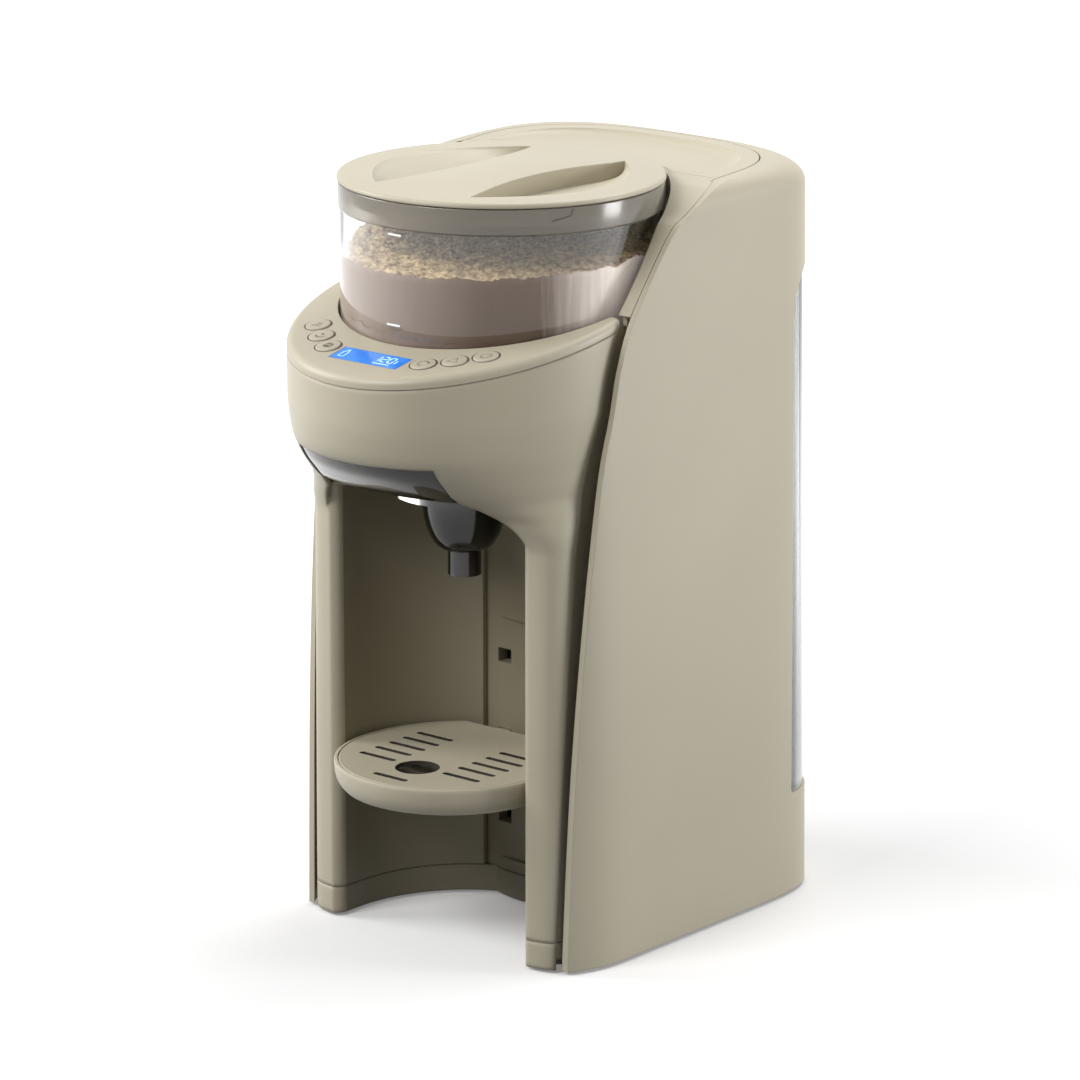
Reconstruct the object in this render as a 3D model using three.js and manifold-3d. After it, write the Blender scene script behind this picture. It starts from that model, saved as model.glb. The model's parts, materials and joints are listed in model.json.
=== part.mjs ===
// Baby formula maker: a tall tower with a round head over a bottle bay, a powder hopper in front
// and a water tank behind. Millimetres, +Z up, -Y front, origin at the centre of the footprint.
import * as THREE from 'three';
import { mergeVertices } from 'three/addons/utils/BufferGeometryUtils.js';
import Module from 'manifold-3d';

const wasm = await Module();
wasm.setup();

// Overall size
const bodyWidth = 170;
const bodyDepth = 251;
const bodyHeight = 343.4;

// The head hangs from the tower's top: steps from each level to the next
const hopperRecess = 1.6;
const hopperHeight = 79.8;
const bandHeight = 11.8;
const lidRise = 2.8;
const deckRise = 35;
const sweepDrop = 10;
const sweepHeight = 62;
const baseDeckDrop = 28;
const crownDrop = 1.5;
const archRise = 45.5;
const carrierDrop = 18.6;
const ceilingDrop = 9.4;
const frameDrop = 6;
const windowDrop = 48.4;
const hopperTop = bodyHeight - hopperRecess;
const hopperFloor = hopperTop - hopperHeight;
const hopperBand = hopperTop - bandHeight;
const lidTop = hopperTop + lidRise;
const deckHeight = hopperFloor + deckRise;
const sweepEnd = hopperFloor - sweepDrop;
const sweepStart = sweepEnd - sweepHeight;
const baseDeck = hopperFloor - baseDeckDrop;
const archCrown = baseDeck - crownDrop;
const archSpring = archCrown - archRise;
const carrierBottom = baseDeck - carrierDrop;
const bayTop = carrierBottom - ceilingDrop;
const frameTop = hopperFloor - frameDrop;
const windowTop = bodyHeight - windowDrop;
const rearY = bodyDepth / 2;
const noseY = -bodyDepth / 2;
const halfWidth = bodyWidth / 2;

// Walls and clearances
const wall = 2.5;
const seatGap = 0.3;
const slideGap = 0.5;
const overrun = 3;
const weldDistance = 0.0001;

// Facet counts
const cornerSteps = 9;
const noseSteps = 14;
const curveSteps = 18;
const arcSteps = 4;
const roundSides = 36;
const mediumSides = 16;
const smallSides = 10;

// Tower outline: straight flanks between a rounded front and a rounded rear
const flankFrontY = -29.5;
const flankRearY = 50.5;
const frontRun = 60;
const frontPower = 2.6;
const rearPower = 4.3;
const rimPower = 2.6;
const flankLean = 2;
const rearLean = 5;
const topRoll = 12;
const panelBottom = 1.5;
const mouthInset = 10.6;

// Side profile of the tower, as shares of half the depth and of the height
const profileShares = [
  [-0.508, -0.02], [-0.506, 0.04], [-0.481, 0.262], [-0.437, 0.4706], [-0.38, 0.6444],
  [-0.325, 0.729], [-0.288, 0.786], [-0.227, 0.84], [-0.122, 0.8917], [0.0056, 0.9458],
  [0.08, 0.9613], [0.166, 0.9761], [0.2725, 0.9889], [0.381, 0.9939], [0.6, 0.9971], [1.1, 0.999],
];

// Front shell: square-shouldered legs that sweep forward into an oval head
const legHalfWidth = 74.3;
const legLean = 1.6;
const headHalfWidth = 77.3;
const shellCentreY = -34.5;
const legDepth = 35;
const flangeStep = 1.5;
const flangeRun = 12;
const grooveWidth = 1;

// Share of the sweep's height, share of its run forward, and roundness of the section there
const sweepShares = [
  [0, 0, 8], [0.1, 0.045, 6.6], [0.18, 0.115, 5], [0.25, 0.2, 3.8], [0.35, 0.425, 2.6],
  [0.42, 0.6, 2.2], [0.5, 0.72, 2.1], [0.62, 0.87, 2], [0.78, 0.965, 2], [1, 1, 2],
];

// Bottle bay
const bayHalfWidth = 54;
const bayDepth = 61.5;
const bayCentreY = -54.5;
const bayBackY = 2.5;
const bayBackHalf = 25.5;
const bayBackBulge = 4;
const mouthRadius = 6;
const baySeam = 13.8;
const ceilingThickness = 2;
const backThickness = 5;
const channelHalf = 22;
const channelFloor = 19.8;
const channelTop = 134;
const channelDepth = 2.6;

// Arch over the bay, as shares of half its width and of its rise
const archShares = [
  [1, -0.1], [1, 0], [0.987, 0.1], [0.96, 0.18], [0.93, 0.27], [0.885, 0.355], [0.827, 0.425],
  [0.742, 0.547], [0.675, 0.61], [0.652, 0.69], [0.652, 0.8], [0.645, 1],
];

// Sloping control deck
const deckSlope = 0.2;
const deckThickness = 4.75;
const deckBore = 72.5;
const deckRearY = -27.5;
const tipClearance = 4;
const deckEdgeShares = [[0, 0], [0.3, 0], [0.62, 0.12], [0.85, 0.42], [1, 1]];
const deckEdgeRadius = 3.2;
const buttonRadius = 5.7;
const buttonProud = 0.5;
const buttonTravel = 1;
const buttonFlange = 6.5;
const buttonFlangeThickness = 1.2;
const buttonStem = 2.4;
const buttonStemDrop = 1.2;
const buttonPlaces = [
  [-48.3, -84.9], [-38.3, -94], [-27.3, -101.9], [27.3, -101.9], [38.3, -94], [48.3, -84.9],
];
const displayWidth = 38;
const displayDepth = 11.5;
const displayY = -105.1;
const displayThickness = 1.2;
const displayLedge = 1.8;
const boardDrop = 9;
const boardThickness = 1.6;

// Hopper
const hopperY = -17.2;
const hopperRadius = 71.5;
const hopperWall = 2.2;
const hopperBandRadius = 72.3;
const wellRadius = 74.5;
const wellWall = 2.2;
const lidRadius = 72.7;
const lidRim = 2.4;
const lidPlugDepth = 8.6;
const lidPlugGap = 1.4;
const lidSealHeight = 3;
const gripCrown = 2.1;
const gripEndHalf = 27;
const gripWaistHalf = 19;
const gripEndY = 53;
const scoopDepth = 8;
const scoopReach = 58;

// Dosing works under and in the hopper
const outletOffset = 25.8;
const outletRadius = 7.8;
const chuteWall = 1.6;
const dosingRadius = 67;
const dosingThickness = 7;
const pocketRadius = 7;
const pocketCount = 8;
const hubRadius = 11;
const hubHeight = 26;
const paddleReach = 60;
const paddleHeight = 5;
const paddleThickness = 3;
const paddleCount = 4;
const scraperThickness = 1.6;
const shaftRadius = 4;
const shaftFlat = 0.8;
const seatThickness = 2.4;
const seatPostRadius = 4;
const seatPostX = 52;
const seatPostFrontY = -45;
const seatPostRearY = 20;
const gearTeeth = 28;
const idlerTeeth = 18;
const pinionTeeth = 10;
const gearThickness = 6;
const gearLift = 3.6;
const backlash = 0.3;
const motorY = 21;
const motorRadius = 12;
const motorLength = 42;
const motorShaftRadius = 1.5;

// Dispenser base with the funnel runners
const baseDeckThickness = 2.5;
const baseHalfWidth = 60;
const baseFrontY = -86;
const runnerHalf = 38.8;
const runnerLip = 3.4;
const runnerLipThickness = 1.6;

// Funnel and its smoke carrier
const funnelY = -43;
const carrierThickness = 2;
const carrierRearY = -8;
const visorInset = 0.6;
const visorWall = 2;
const funnelFlange = 27;
const funnelFlangeThickness = 1.6;
const funnelMouth = 23.5;
const funnelShoulder = 22.5;
const funnelShoulderDrop = 27;
const funnelNeck = 8.5;
const funnelNeckDrop = 41;
const funnelDrop = 52.5;
const funnelWall = 1.6;

// Drip tray
const trayTop = 84;
const trayRadius = 52;
const trayCentreY = -53.5;
const trayHeight = 12.5;
const trayTaper = 3;
const trayWall = 2;
const trayRearRun = 57;
const trayRearY = -7;
const grilleInset = 1.6;
const grilleThickness = 2;
const grilleHole = 10;
const grilleHoleY = -75.8;
const slotWidth = 3;
const slotInner = 14;
const slotOuter = 35;
const slotFrontHalf = 9.7;
const slotFrontY = -94;
const slotRows = [-74.5, -64, -54.5, -45, -35.5];
const hookHalf = 14;
const hookWidth = 7;
const hookHeight = 6;
const hookReach = 12;
const hookDrop = 3;
const hookPitch = 38;

// Water tank behind the tower
const windowFront = 89.5;
const windowBottom = 48;
const windowTopRadius = 22;
const windowBottomRadius = 3;
const tankInset = 2.9;
const tankHalfWidth = 78.5;
const tankWall = 2.4;
const tankFrontY = 61;
const shoulderWidth = 20;
const shoulderHeight = 26;
const tankMouthHalf = 50;
const tankMouthFront = 70;
const tankMouthRear = 106;
const valveHeight = 60;
const spigotRadius = 8;
const spigotLength = 7;
const spigotBore = 5.6;
const valveStem = 2.4;
const valveHead = 7;
const valveHeadThickness = 2;
const dockWall = 3;
const dockLength = 10;
const probeRadius = 1.5;

// Tower lid with its dish
const lidSeamY = 44;
const coverThickness = 2.5;
const coverSkirt = 4;
const dishDepth = 3.4;
const dishInset = 8;
const dishFrontY = 48;
const notchRadius = 1.6;
const notchX = 17;

// Inner frame
const frameFrontY = 57;
const frameThickness = 2.5;
const shelfThickness = 2.5;
const flangeFrontY = 22;
const ribHalf = 40;

// Base, feet and screws
const baseBottom = 3;
const baseThickness = 2.5;
const baseSplitY = -50;
const footRadius = 8;
const frontFootInset = 18.5;
const frontFootY = -47.5;
const rearFootInset = 25;
const rearFootRecess = 27.5;
const footPlaces = [
  [halfWidth - frontFootInset, frontFootY], [frontFootInset - halfWidth, frontFootY],
  [halfWidth - rearFootInset, rearY - rearFootRecess], [rearFootInset - halfWidth, rearY - rearFootRecess],
];
const screwRadius = 1.8;
const screwHead = 3.4;
const screwHeadHeight = 1.4;
const screwLength = 9;
const sideScrewInset = 19;
const rearScrewX = 40;
const rearScrewRecess = 13.5;
const screwPlaces = [
  [halfWidth - sideScrewInset, 0], [sideScrewInset - halfWidth, 0],
  [rearScrewX, rearY - rearScrewRecess], [-rearScrewX, rearY - rearScrewRecess],
];

// Water circuit and electrics in the tower
const pumpInset = 41;
const pumpX = pumpInset - halfWidth;
const pumpY = 33;
const pumpRadius = 15;
const pumpLength = 38;
const pumpHead = 17;
const pumpHeadHeight = 14;
const heaterInset = 41;
const heaterX = halfWidth - heaterInset;
const heaterY = 34;
const heaterRadius = 17;
const heaterShare = 0.4273504;
const heaterLength = heaterShare * baseDeck;
const portRadius = 4;
const portLength = 8;
const hoseRadius = 3;
const hoseSides = 8;
const nozzleX = 16;
const nozzleY = -36;
const nozzleRadius = 4;
const nozzleFlange = 6;
const nozzleFlangeThickness = 1.5;
const nozzleDrop = 11;
const nozzleBarb = 2.6;
const nozzleBarbLength = 6;
const supplyWidth = 54;
const supplyHeight = 92;
const supplyDepth = 22;
const boardShare = 0.42353;
const supplyX = -boardShare * halfWidth;
const supplyShare = 0.410256;
const supplyBottom = supplyShare * baseDeck;
const cardWidth = 62;
const cardHeight = 84;
const cardX = boardShare * halfWidth;
const cardDrop = 94;
const cardBottom = baseDeck - cardDrop;
const chipDepth = 7;
const inletInset = 35;
const inletX = inletInset - halfWidth;
const inletHeight = 24;
const inletWidth = 20;
const inletTall = 18;
const inletDepth = 22;
const inletRecess = 12;
const inletRim = 2.4;
const inletPin = 1.4;

const deckAngle = Math.atan(deckSlope);
const deckCos = Math.cos(deckAngle);
const gearModule = 2 * (motorY - hopperY) / (gearTeeth + 2 * idlerTeeth + pinionTeeth);

// Plastics and metals
function finish(color, roughness, metalness = 0, opacity = 1) {
  return new THREE.MeshStandardMaterial({
    color, roughness, metalness, opacity, transparent: opacity < 1,
  });
}
const beige = finish(0xbab3a2, 0.45);
const darkBeige = finish(0x8d8574, 0.6);
const white = finish(0xe8e6e0, 0.55);
const clear = finish(0xdfe6ea, 0.08, 0, 0.3);
const smoke = finish(0x4a4742, 0.12, 0, 0.45);
const rubber = finish(0x2a2a2a, 0.9);
const steel = finish(0xb8bbbd, 0.3, 1);
const darkPlastic = finish(0x35353a, 0.6);
const board = finish(0x1f6b3a, 0.5);
const screen = finish(0x2288e6, 0.2);
const silicone = finish(0xd8dcdc, 0.5);

// Turns a closed three.js geometry into a solid, with its faces outward
function solid(geometry) {
  const bare = geometry.clone();
  for (const name of Object.keys(bare.attributes)) {
    if (name !== 'position') bare.deleteAttribute(name);
  }
  const welded = mergeVertices(bare, weldDistance);
  const places = welded.attributes.position;
  const corners = [];
  let volume = 0;
  const [a, b, c] = [new THREE.Vector3(), new THREE.Vector3(), new THREE.Vector3()];
  for (let i = 0; i < welded.index.count; i += 3) {
    const [i0, i1, i2] = [0, 1, 2].map((k) => welded.index.getX(i + k));
    if (i0 === i1 || i1 === i2 || i2 === i0) continue;
    corners.push(i0, i1, i2);
    a.fromBufferAttribute(places, i0);
    b.fromBufferAttribute(places, i1);
    c.fromBufferAttribute(places, i2);
    volume += a.dot(b.cross(c));
  }
  if (volume < 0) corners.reverse();
  return new wasm.Manifold(new wasm.Mesh({
    numProp: 3,
    vertProperties: new Float32Array(places.array),
    triVerts: new Uint32Array(corners),
  }));
}

function part(name, body, material, parent = group) {
  const mesh = body.getMesh();
  const geometry = new THREE.BufferGeometry();
  geometry.setAttribute('position', new THREE.BufferAttribute(mesh.vertProperties, 3));
  geometry.setIndex(new THREE.BufferAttribute(mesh.triVerts, 1));
  geometry.computeVertexNormals();
  const item = new THREE.Mesh(geometry, material);
  item.name = name;
  parent.add(item);
  return item;
}

// Basic solids
function block(x0, x1, y0, y1, z0, z1) {
  const geometry = new THREE.BoxGeometry(x1 - x0, y1 - y0, z1 - z0);
  geometry.translate((x0 + x1) / 2, (y0 + y1) / 2, (z0 + z1) / 2);
  return solid(geometry);
}

function outlineShape(points) {
  return new THREE.Shape(points.map(([u, v]) => new THREE.Vector2(u, v)));
}

function extruded(points, depth) {
  return new THREE.ExtrudeGeometry(outlineShape(points), { depth, bevelEnabled: false });
}

// Outline in X and Y, raised along Z
function prismZ(points, z0, z1) {
  const geometry = extruded(points, z1 - z0);
  geometry.translate(0, 0, z0);
  return solid(geometry);
}

// Outline in Y and Z, drawn along X
function prismX(points, x0, x1) {
  const geometry = extruded(points, x1 - x0);
  geometry.applyMatrix4(new THREE.Matrix4().makeBasis(
    new THREE.Vector3(0, 1, 0), new THREE.Vector3(0, 0, 1), new THREE.Vector3(1, 0, 0)));
  geometry.translate(x0, 0, 0);
  return solid(geometry);
}

// Outline in X and Z, drawn along Y
function prismY(points, y0, y1) {
  const geometry = extruded(points, y1 - y0);
  geometry.applyMatrix4(new THREE.Matrix4().makeBasis(
    new THREE.Vector3(1, 0, 0), new THREE.Vector3(0, 0, 1), new THREE.Vector3(0, -1, 0)));
  geometry.translate(0, y1, 0);
  return solid(geometry);
}

function post(radius, x, y, z0, z1, sides = smallSides) {
  const geometry = new THREE.CylinderGeometry(radius, radius, z1 - z0, sides);
  geometry.rotateX(Math.PI / 2);
  geometry.translate(x, y, (z0 + z1) / 2);
  return solid(geometry);
}

function rodY(radius, x, z, y0, y1, sides = smallSides) {
  const geometry = new THREE.CylinderGeometry(radius, radius, y1 - y0, sides);
  geometry.translate(x, (y0 + y1) / 2, z);
  return solid(geometry);
}

function rodX(radius, y, z, x0, x1, sides = smallSides) {
  const geometry = new THREE.CylinderGeometry(radius, radius, x1 - x0, sides);
  geometry.rotateZ(Math.PI / 2);
  geometry.translate((x0 + x1) / 2, y, z);
  return solid(geometry);
}

// Revolves a closed profile of radius and height about a vertical axis
function turned(profile, x, y, sides = roundSides) {
  const points = profile.map(([r, z]) => new THREE.Vector2(r, z));
  points.push(points[0].clone());
  const geometry = new THREE.LatheGeometry(points, sides);
  geometry.rotateX(Math.PI / 2);
  geometry.translate(x, y, 0);
  return solid(geometry);
}

// Skins a stack of rings, each a list of points with the same count
function loft(stack) {
  const backward = THREE.ShapeUtils.isClockWise(stack[0]);
  const rings = stack.map((ring) => (backward ? [...ring].reverse() : ring));
  const count = rings[0].length;
  const places = rings.flat().flatMap((p) => [p.x, p.y, p.z]);
  const index = [];
  for (let r = 0; r + 1 < rings.length; r += 1) {
    for (let i = 0; i < count; i += 1) {
      const j = (i + 1) % count;
      const [low, high] = [r * count, (r + 1) * count];
      index.push(low + i, low + j, high + j, low + i, high + j, high + i);
    }
  }
  const caps = [[rings[0], 0, true], [rings.at(-1), (rings.length - 1) * count, false]];
  for (const [ring, first, flip] of caps) {
    const flat = ring.map((p) => new THREE.Vector2(p.x, p.y));
    for (const [i, j, k] of THREE.ShapeUtils.triangulateShape(flat, [])) {
      index.push(...(flip ? [first + k, first + j, first + i] : [first + i, first + j, first + k]));
    }
  }
  const geometry = new THREE.BufferGeometry();
  geometry.setAttribute('position', new THREE.Float32BufferAttribute(places, 3));
  geometry.setIndex(index);
  return solid(geometry);
}

function hose(points) {
  const route = new THREE.CatmullRomCurve3(points.map((p) => new THREE.Vector3(...p)), false, 'centripetal');
  const section = new THREE.Shape();
  for (let i = 0; i < hoseSides; i += 1) {
    const turn = 2 * Math.PI * i / hoseSides;
    const [u, v] = [hoseRadius * Math.cos(turn), hoseRadius * Math.sin(turn)];
    if (i === 0) section.moveTo(u, v);
    else section.lineTo(u, v);
  }
  const steps = Math.ceil(route.getLength() / (3 * hoseRadius));
  return solid(new THREE.ExtrudeGeometry(section, { steps, extrudePath: route, bevelEnabled: false }));
}

const power = (value, exponent) => Math.sign(value) * Math.abs(value) ** exponent;

// Plan outline of the tower at a height, drawn in by an inset
function towerRing(z, inset, rearExponent = rearPower) {
  const share = z / bodyHeight;
  const half = halfWidth - flankLean * share - inset;
  const rearRun = rearY - flankRearY - rearLean * share - inset;
  const ring = [];
  for (let i = 0; i <= 2 * cornerSteps; i += 1) {
    const turn = Math.PI * i / (2 * cornerSteps);
    ring.push(new THREE.Vector3(
      half * power(Math.cos(turn), 2 / rearExponent),
      flankRearY + rearRun * power(Math.sin(turn), 2 / rearExponent), z));
  }
  for (let i = 0; i <= 2 * cornerSteps; i += 1) {
    const turn = Math.PI * (1 + i / (2 * cornerSteps));
    ring.push(new THREE.Vector3(
      half * power(Math.cos(turn), 2 / frontPower),
      flankFrontY + (frontRun - inset) * power(Math.sin(turn), 2 / frontPower), z));
  }
  return ring;
}

// Solid of the tower inside its skin, with the rolled top edge
function towerBody(inset, bottom) {
  const roll = topRoll - Math.min(inset, topRoll / 2);
  const rollBase = bodyHeight - topRoll;
  const rings = [towerRing(bottom, inset), towerRing(rollBase, inset)];
  for (let i = 1; i <= arcSteps; i += 1) {
    const turn = Math.PI * i / (2 * arcSteps);
    const blend = 1 - Math.cos(turn);
    const exponent = rearPower + (rimPower - rearPower) * blend;
    rings.push(towerRing(rollBase + roll * Math.sin(turn), inset + roll * blend, exponent));
  }
  return loft(rings);
}

// Opening in the tower's roof, drawn in by a clearance
function roofMouth(clearance, z0, z1) {
  const ring = towerRing(bodyHeight, mouthInset + clearance, rimPower);
  return prismZ(ring.map((p) => [p.x, p.y]), z0, z1);
}

const profileCurve = new THREE.SplineCurve(profileShares.map(
  ([y, z]) => new THREE.Vector2(y * rearY, z * bodyHeight)));
const profilePoints = profileCurve.getPoints(curveSteps).map((p) => [p.x, p.y]);

// Everything behind and below the tower profile, lowered by a drop and set back by the same
function behindProfile(drop = 0) {
  const points = profilePoints.map(([y, z]) => [y + drop, z - drop]);
  const [last] = points.slice(-1);
  return prismX([...points, [last[0], points[0][1]]], -bodyWidth, bodyWidth);
}

// Everything ahead of the tower profile, up to the hopper's height
function aheadOfProfile(clearance) {
  const points = profilePoints.filter(([y]) => y < deckRearY).map(([y, z]) => [y - clearance, z]);
  const top = points.at(-1)[1] + bodyHeight;
  const bottom = points[0][1];
  return prismX([
    [noseY - overrun, bottom], ...points, [points.at(-1)[0], top], [noseY - overrun, top],
  ], -bodyWidth, bodyWidth);
}

// Half-width, run forward and roundness of the front shell at a height
function shellSection(z) {
  const share = (z - sweepStart) / (sweepEnd - sweepStart);
  const clamped = Math.min(1, Math.max(0, share));
  const next = Math.max(1, sweepShares.findIndex(([height]) => height >= clamped));
  const [low, high] = [sweepShares[next - 1], sweepShares[next]];
  const part = (clamped - low[0]) / (high[0] - low[0]);
  const [, run, roundness] = low.map((value, k) => value + (high[k] - value) * part);
  const legTop = legHalfWidth - legLean;
  return {
    half: share < 0 ? legHalfWidth - legLean * z / sweepStart : legTop + (headHalfWidth - legTop) * clamped,
    run: legDepth + (shellCentreY - noseY - legDepth) * run,
    roundness,
  };
}

// Plan outline of the front shell at a height
function shellRing(z, inset, lift = null) {
  const section = shellSection(z);
  const [half, run] = [section.half - inset, section.run - inset];
  const height = (y) => (lift ? lift(y) : z);
  const ring = [];
  for (let i = 0; i <= noseSteps; i += 1) {
    const turn = Math.PI * (1 + i / noseSteps);
    const x = half * power(Math.cos(turn), 2 / section.roundness);
    const y = shellCentreY + run * power(Math.sin(turn), 2 / section.roundness);
    ring.push(new THREE.Vector3(x, y, height(y)));
  }
  const back = -shellCentreY;
  ring.push(new THREE.Vector3(half, back, height(back)), new THREE.Vector3(-half, back, height(back)));
  return ring;
}

function shellBody(inset, bottom, top) {
  const levels = sweepShares.map(([share]) => sweepStart + (sweepEnd - sweepStart) * share);
  const inside = levels.filter((z) => z > bottom && z < top);
  return loft([bottom, ...inside, top].map((z) => shellRing(z, inset)));
}

// Slab under a plane that is parallel to the control deck
function underDeck(drop) {
  const reach = bodyDepth;
  const level = (y) => deckHeight + deckSlope * y - drop;
  return prismX([
    [-reach, -reach], [reach, -reach], [reach, level(reach)], [-reach, level(-reach)],
  ], -bodyWidth, bodyWidth);
}

// Plan outline of the bottle bay, grown outward by a wall
function bayOutline(grow, bulge = bayBackBulge) {
  const half = bayHalfWidth + grow;
  const depth = bayDepth + grow;
  const stop = Math.asin(Math.min(1, (bayBackY + grow - bayCentreY) / depth));
  const right = [];
  for (let i = 0; i <= arcSteps + 2; i += 1) {
    const turn = stop * i / (arcSteps + 2);
    right.push([half * Math.cos(turn), bayCentreY + depth * Math.sin(turn)]);
  }
  const left = right.map(([x, y]) => [-x, y]).reverse();
  const back = [0.5, 0, -0.5].map((share) => {
    const x = 2 * share * right.at(-1)[0] / 2;
    return [x, bayBackY + grow - bulge * Math.cos(Math.PI * share / 2)];
  });
  return { right, left, back };
}

const legFrontY = shellCentreY - legDepth;
const mouthY = legFrontY + mouthRadius;
const mouthHalf = bayHalfWidth + mouthRadius;

function bayPrism(grow, z0, z1) {
  const { right, left, back } = bayOutline(grow);
  const half = bayHalfWidth + grow;
  return prismZ([[half, mouthY], ...right, ...back, ...left, [-half, mouthY]], z0, z1);
}

// Space cut for the bay: the room itself and its flared mouth between the legs
function baySpace(z0, z1) {
  const flare = [];
  for (let i = 0; i <= arcSteps; i += 1) {
    const turn = Math.PI * i / (2 * arcSteps);
    flare.push([
      bayHalfWidth + mouthRadius * (1 - Math.cos(turn)), mouthY - mouthRadius * Math.sin(turn),
    ]);
  }
  const end = flare.at(-1)[0];
  const mouth = prismZ([
    [-bayHalfWidth, mouthY + overrun], ...flare.map(([x, y]) => [-x, y]),
    [-end, noseY - overrun], [end, noseY - overrun],
    ...flare.reverse(), [bayHalfWidth, mouthY + overrun],
  ], z0, z1);
  return bayPrism(0, z0, z1).add(mouth);
}

// Side walls of the bay with the rounded posts that carry them at its mouth
function bayWalls(z0, z1) {
  const posts = [-1, 1].map((side) => post(mouthRadius, side * mouthHalf, mouthY, z0, z1, mediumSides)
    .subtract(post(mouthRadius - wall, side * mouthHalf, mouthY, z0 - overrun, z1 + overrun)));
  return bayPrism(wall, z0, z1).add(posts[0]).add(posts[1]);
}

// Front view of the arch over the bay, cut ahead of the posts at the bay's mouth
function archSpace() {
  const right = archShares.map(([half, rise]) => [
    mouthHalf * half, archSpring + (archCrown - archSpring) * rise,
  ]);
  const left = right.map(([x, z]) => [-x, z]).reverse();
  const posts = [-1, 1].map((side) => post(
    mouthRadius, side * mouthHalf, mouthY, sweepStart - sweepEnd, bayTop + overrun, mediumSides));
  return prismY([...right, ...left], noseY - overrun, mouthY).subtract(posts[0]).subtract(posts[1]);
}

function frontShell() {
  const bottom = baySeam + seatGap;
  const outer = shellBody(0, bottom, deckHeight);
  const inner = shellBody(wall, bottom - overrun, deckHeight + overrun);
  const tuck = block(-bodyWidth, bodyWidth, deckRearY + tipClearance - seatGap, bodyDepth,
    hopperFloor - seatThickness - 2 * seatGap, 2 * bodyHeight);
  const flange = shellBody(flangeStep, bottom, deckHeight).intersect(aheadOfProfile(-flangeRun))
    .subtract(tuck);
  const skin = outer.intersect(aheadOfProfile(grooveWidth)).add(flange)
    .subtract(shellBody(wall + flangeStep, bottom - overrun, deckHeight + overrun)
      .add(inner.intersect(aheadOfProfile(grooveWidth + overrun))));
  const bayWall = bayWalls(bottom, bayTop)
    .subtract(block(-bodyWidth, bodyWidth, bayBackY - seatGap, rearY, 0, bodyHeight))
    .subtract(block(-bayBackHalf, bayBackHalf, bayCentreY, rearY, 0, bodyHeight));
  return skin.add(bayWall.intersect(outer.add(
    block(-bodyWidth, bodyWidth, shellCentreY, rearY, 0, bodyHeight))))
    .subtract(baySpace(bottom - overrun, archSpring))
    .subtract(bayPrism(0, bottom, bayTop + overrun))
    .subtract(archSpace())
    .intersect(underDeck(deckThickness + seatGap));
}

function baseTrim() {
  const top = baySeam;
  const outer = shellBody(0, panelBottom, deckHeight).intersect(aheadOfProfile(grooveWidth));
  const flange = shellBody(flangeStep, baseBottom + baseThickness + seatGap, deckHeight)
    .intersect(aheadOfProfile(-flangeRun));
  const skin = outer.subtract(shellBody(wall, panelBottom - overrun, deckHeight))
    .add(flange.subtract(shellBody(wall + flangeStep, panelBottom - overrun, deckHeight)));
  const around = bayWalls(panelBottom, top);
  const slab = block(-bodyWidth, bodyWidth, -bodyDepth, bodyDepth, panelBottom, top);
  return skin.add(around.intersect(outer.add(
    block(-bodyWidth, bodyWidth, legFrontY + wall, rearY, panelBottom, top))))
    .intersect(slab)
    .subtract(baySpace(panelBottom - overrun, top + overrun));
}

function tankWindow() {
  const points = [];
  for (let i = 0; i <= arcSteps; i += 1) {
    const turn = Math.PI + Math.PI * i / (2 * arcSteps);
    points.push([
      windowFront + windowBottomRadius * (1 + Math.cos(turn)),
      windowBottom + windowBottomRadius * (1 + Math.sin(turn)),
    ]);
  }
  points.push([rearY + overrun, windowBottom], [rearY + overrun, windowTop]);
  for (let i = 0; i <= arcSteps; i += 1) {
    const turn = Math.PI / 2 + Math.PI * i / (2 * arcSteps);
    points.push([
      windowFront + windowTopRadius * (1 + Math.cos(turn)),
      windowTop + windowTopRadius * (Math.sin(turn) - 1),
    ]);
  }
  return prismX(points, -bodyWidth, bodyWidth);
}

function inletBlock(grow, y0, y1) {
  return block(
    inletX - inletWidth / 2 - grow, inletX + inletWidth / 2 + grow, y0, y1,
    inletHeight - inletTall / 2 - grow, inletHeight + inletTall / 2 + grow);
}

function sidePanel(side) {
  const shell = towerBody(0, panelBottom).intersect(behindProfile())
    .subtract(towerBody(wall, panelBottom - overrun))
    .subtract(roofMouth(0, bodyHeight - topRoll / 2, bodyHeight + overrun))
    .subtract(tankWindow())
    .subtract(inletBlock(seatGap, rearY - inletDepth, rearY + overrun));
  const far = [-side * bodyWidth, side * seatGap / 2].sort((a, b) => a - b);
  return shell.subtract(block(...far, -bodyDepth, bodyDepth, -bodyHeight, 2 * bodyHeight));
}

const wellInner = () => post(wellRadius, 0, hopperY, 0, 2 * bodyHeight, roundSides);
const wellOuter = () => post(wellRadius + wellWall, 0, hopperY, hopperFloor, 2 * bodyHeight, roundSides);

// Skin of the tower's top: what lies inside the side panels and under the profile
function topSkin() {
  const core = towerBody(wall + seatGap, 0)
    .add(roofMouth(seatGap, bodyHeight - topRoll / 2, bodyHeight));
  const under = towerBody(2 * wall + seatGap, -overrun)
    .add(roofMouth(wall, bodyHeight - topRoll / 2, bodyHeight));
  return {
    core: core.intersect(behindProfile()),
    under: under.intersect(behindProfile(coverThickness)),
  };
}

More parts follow.
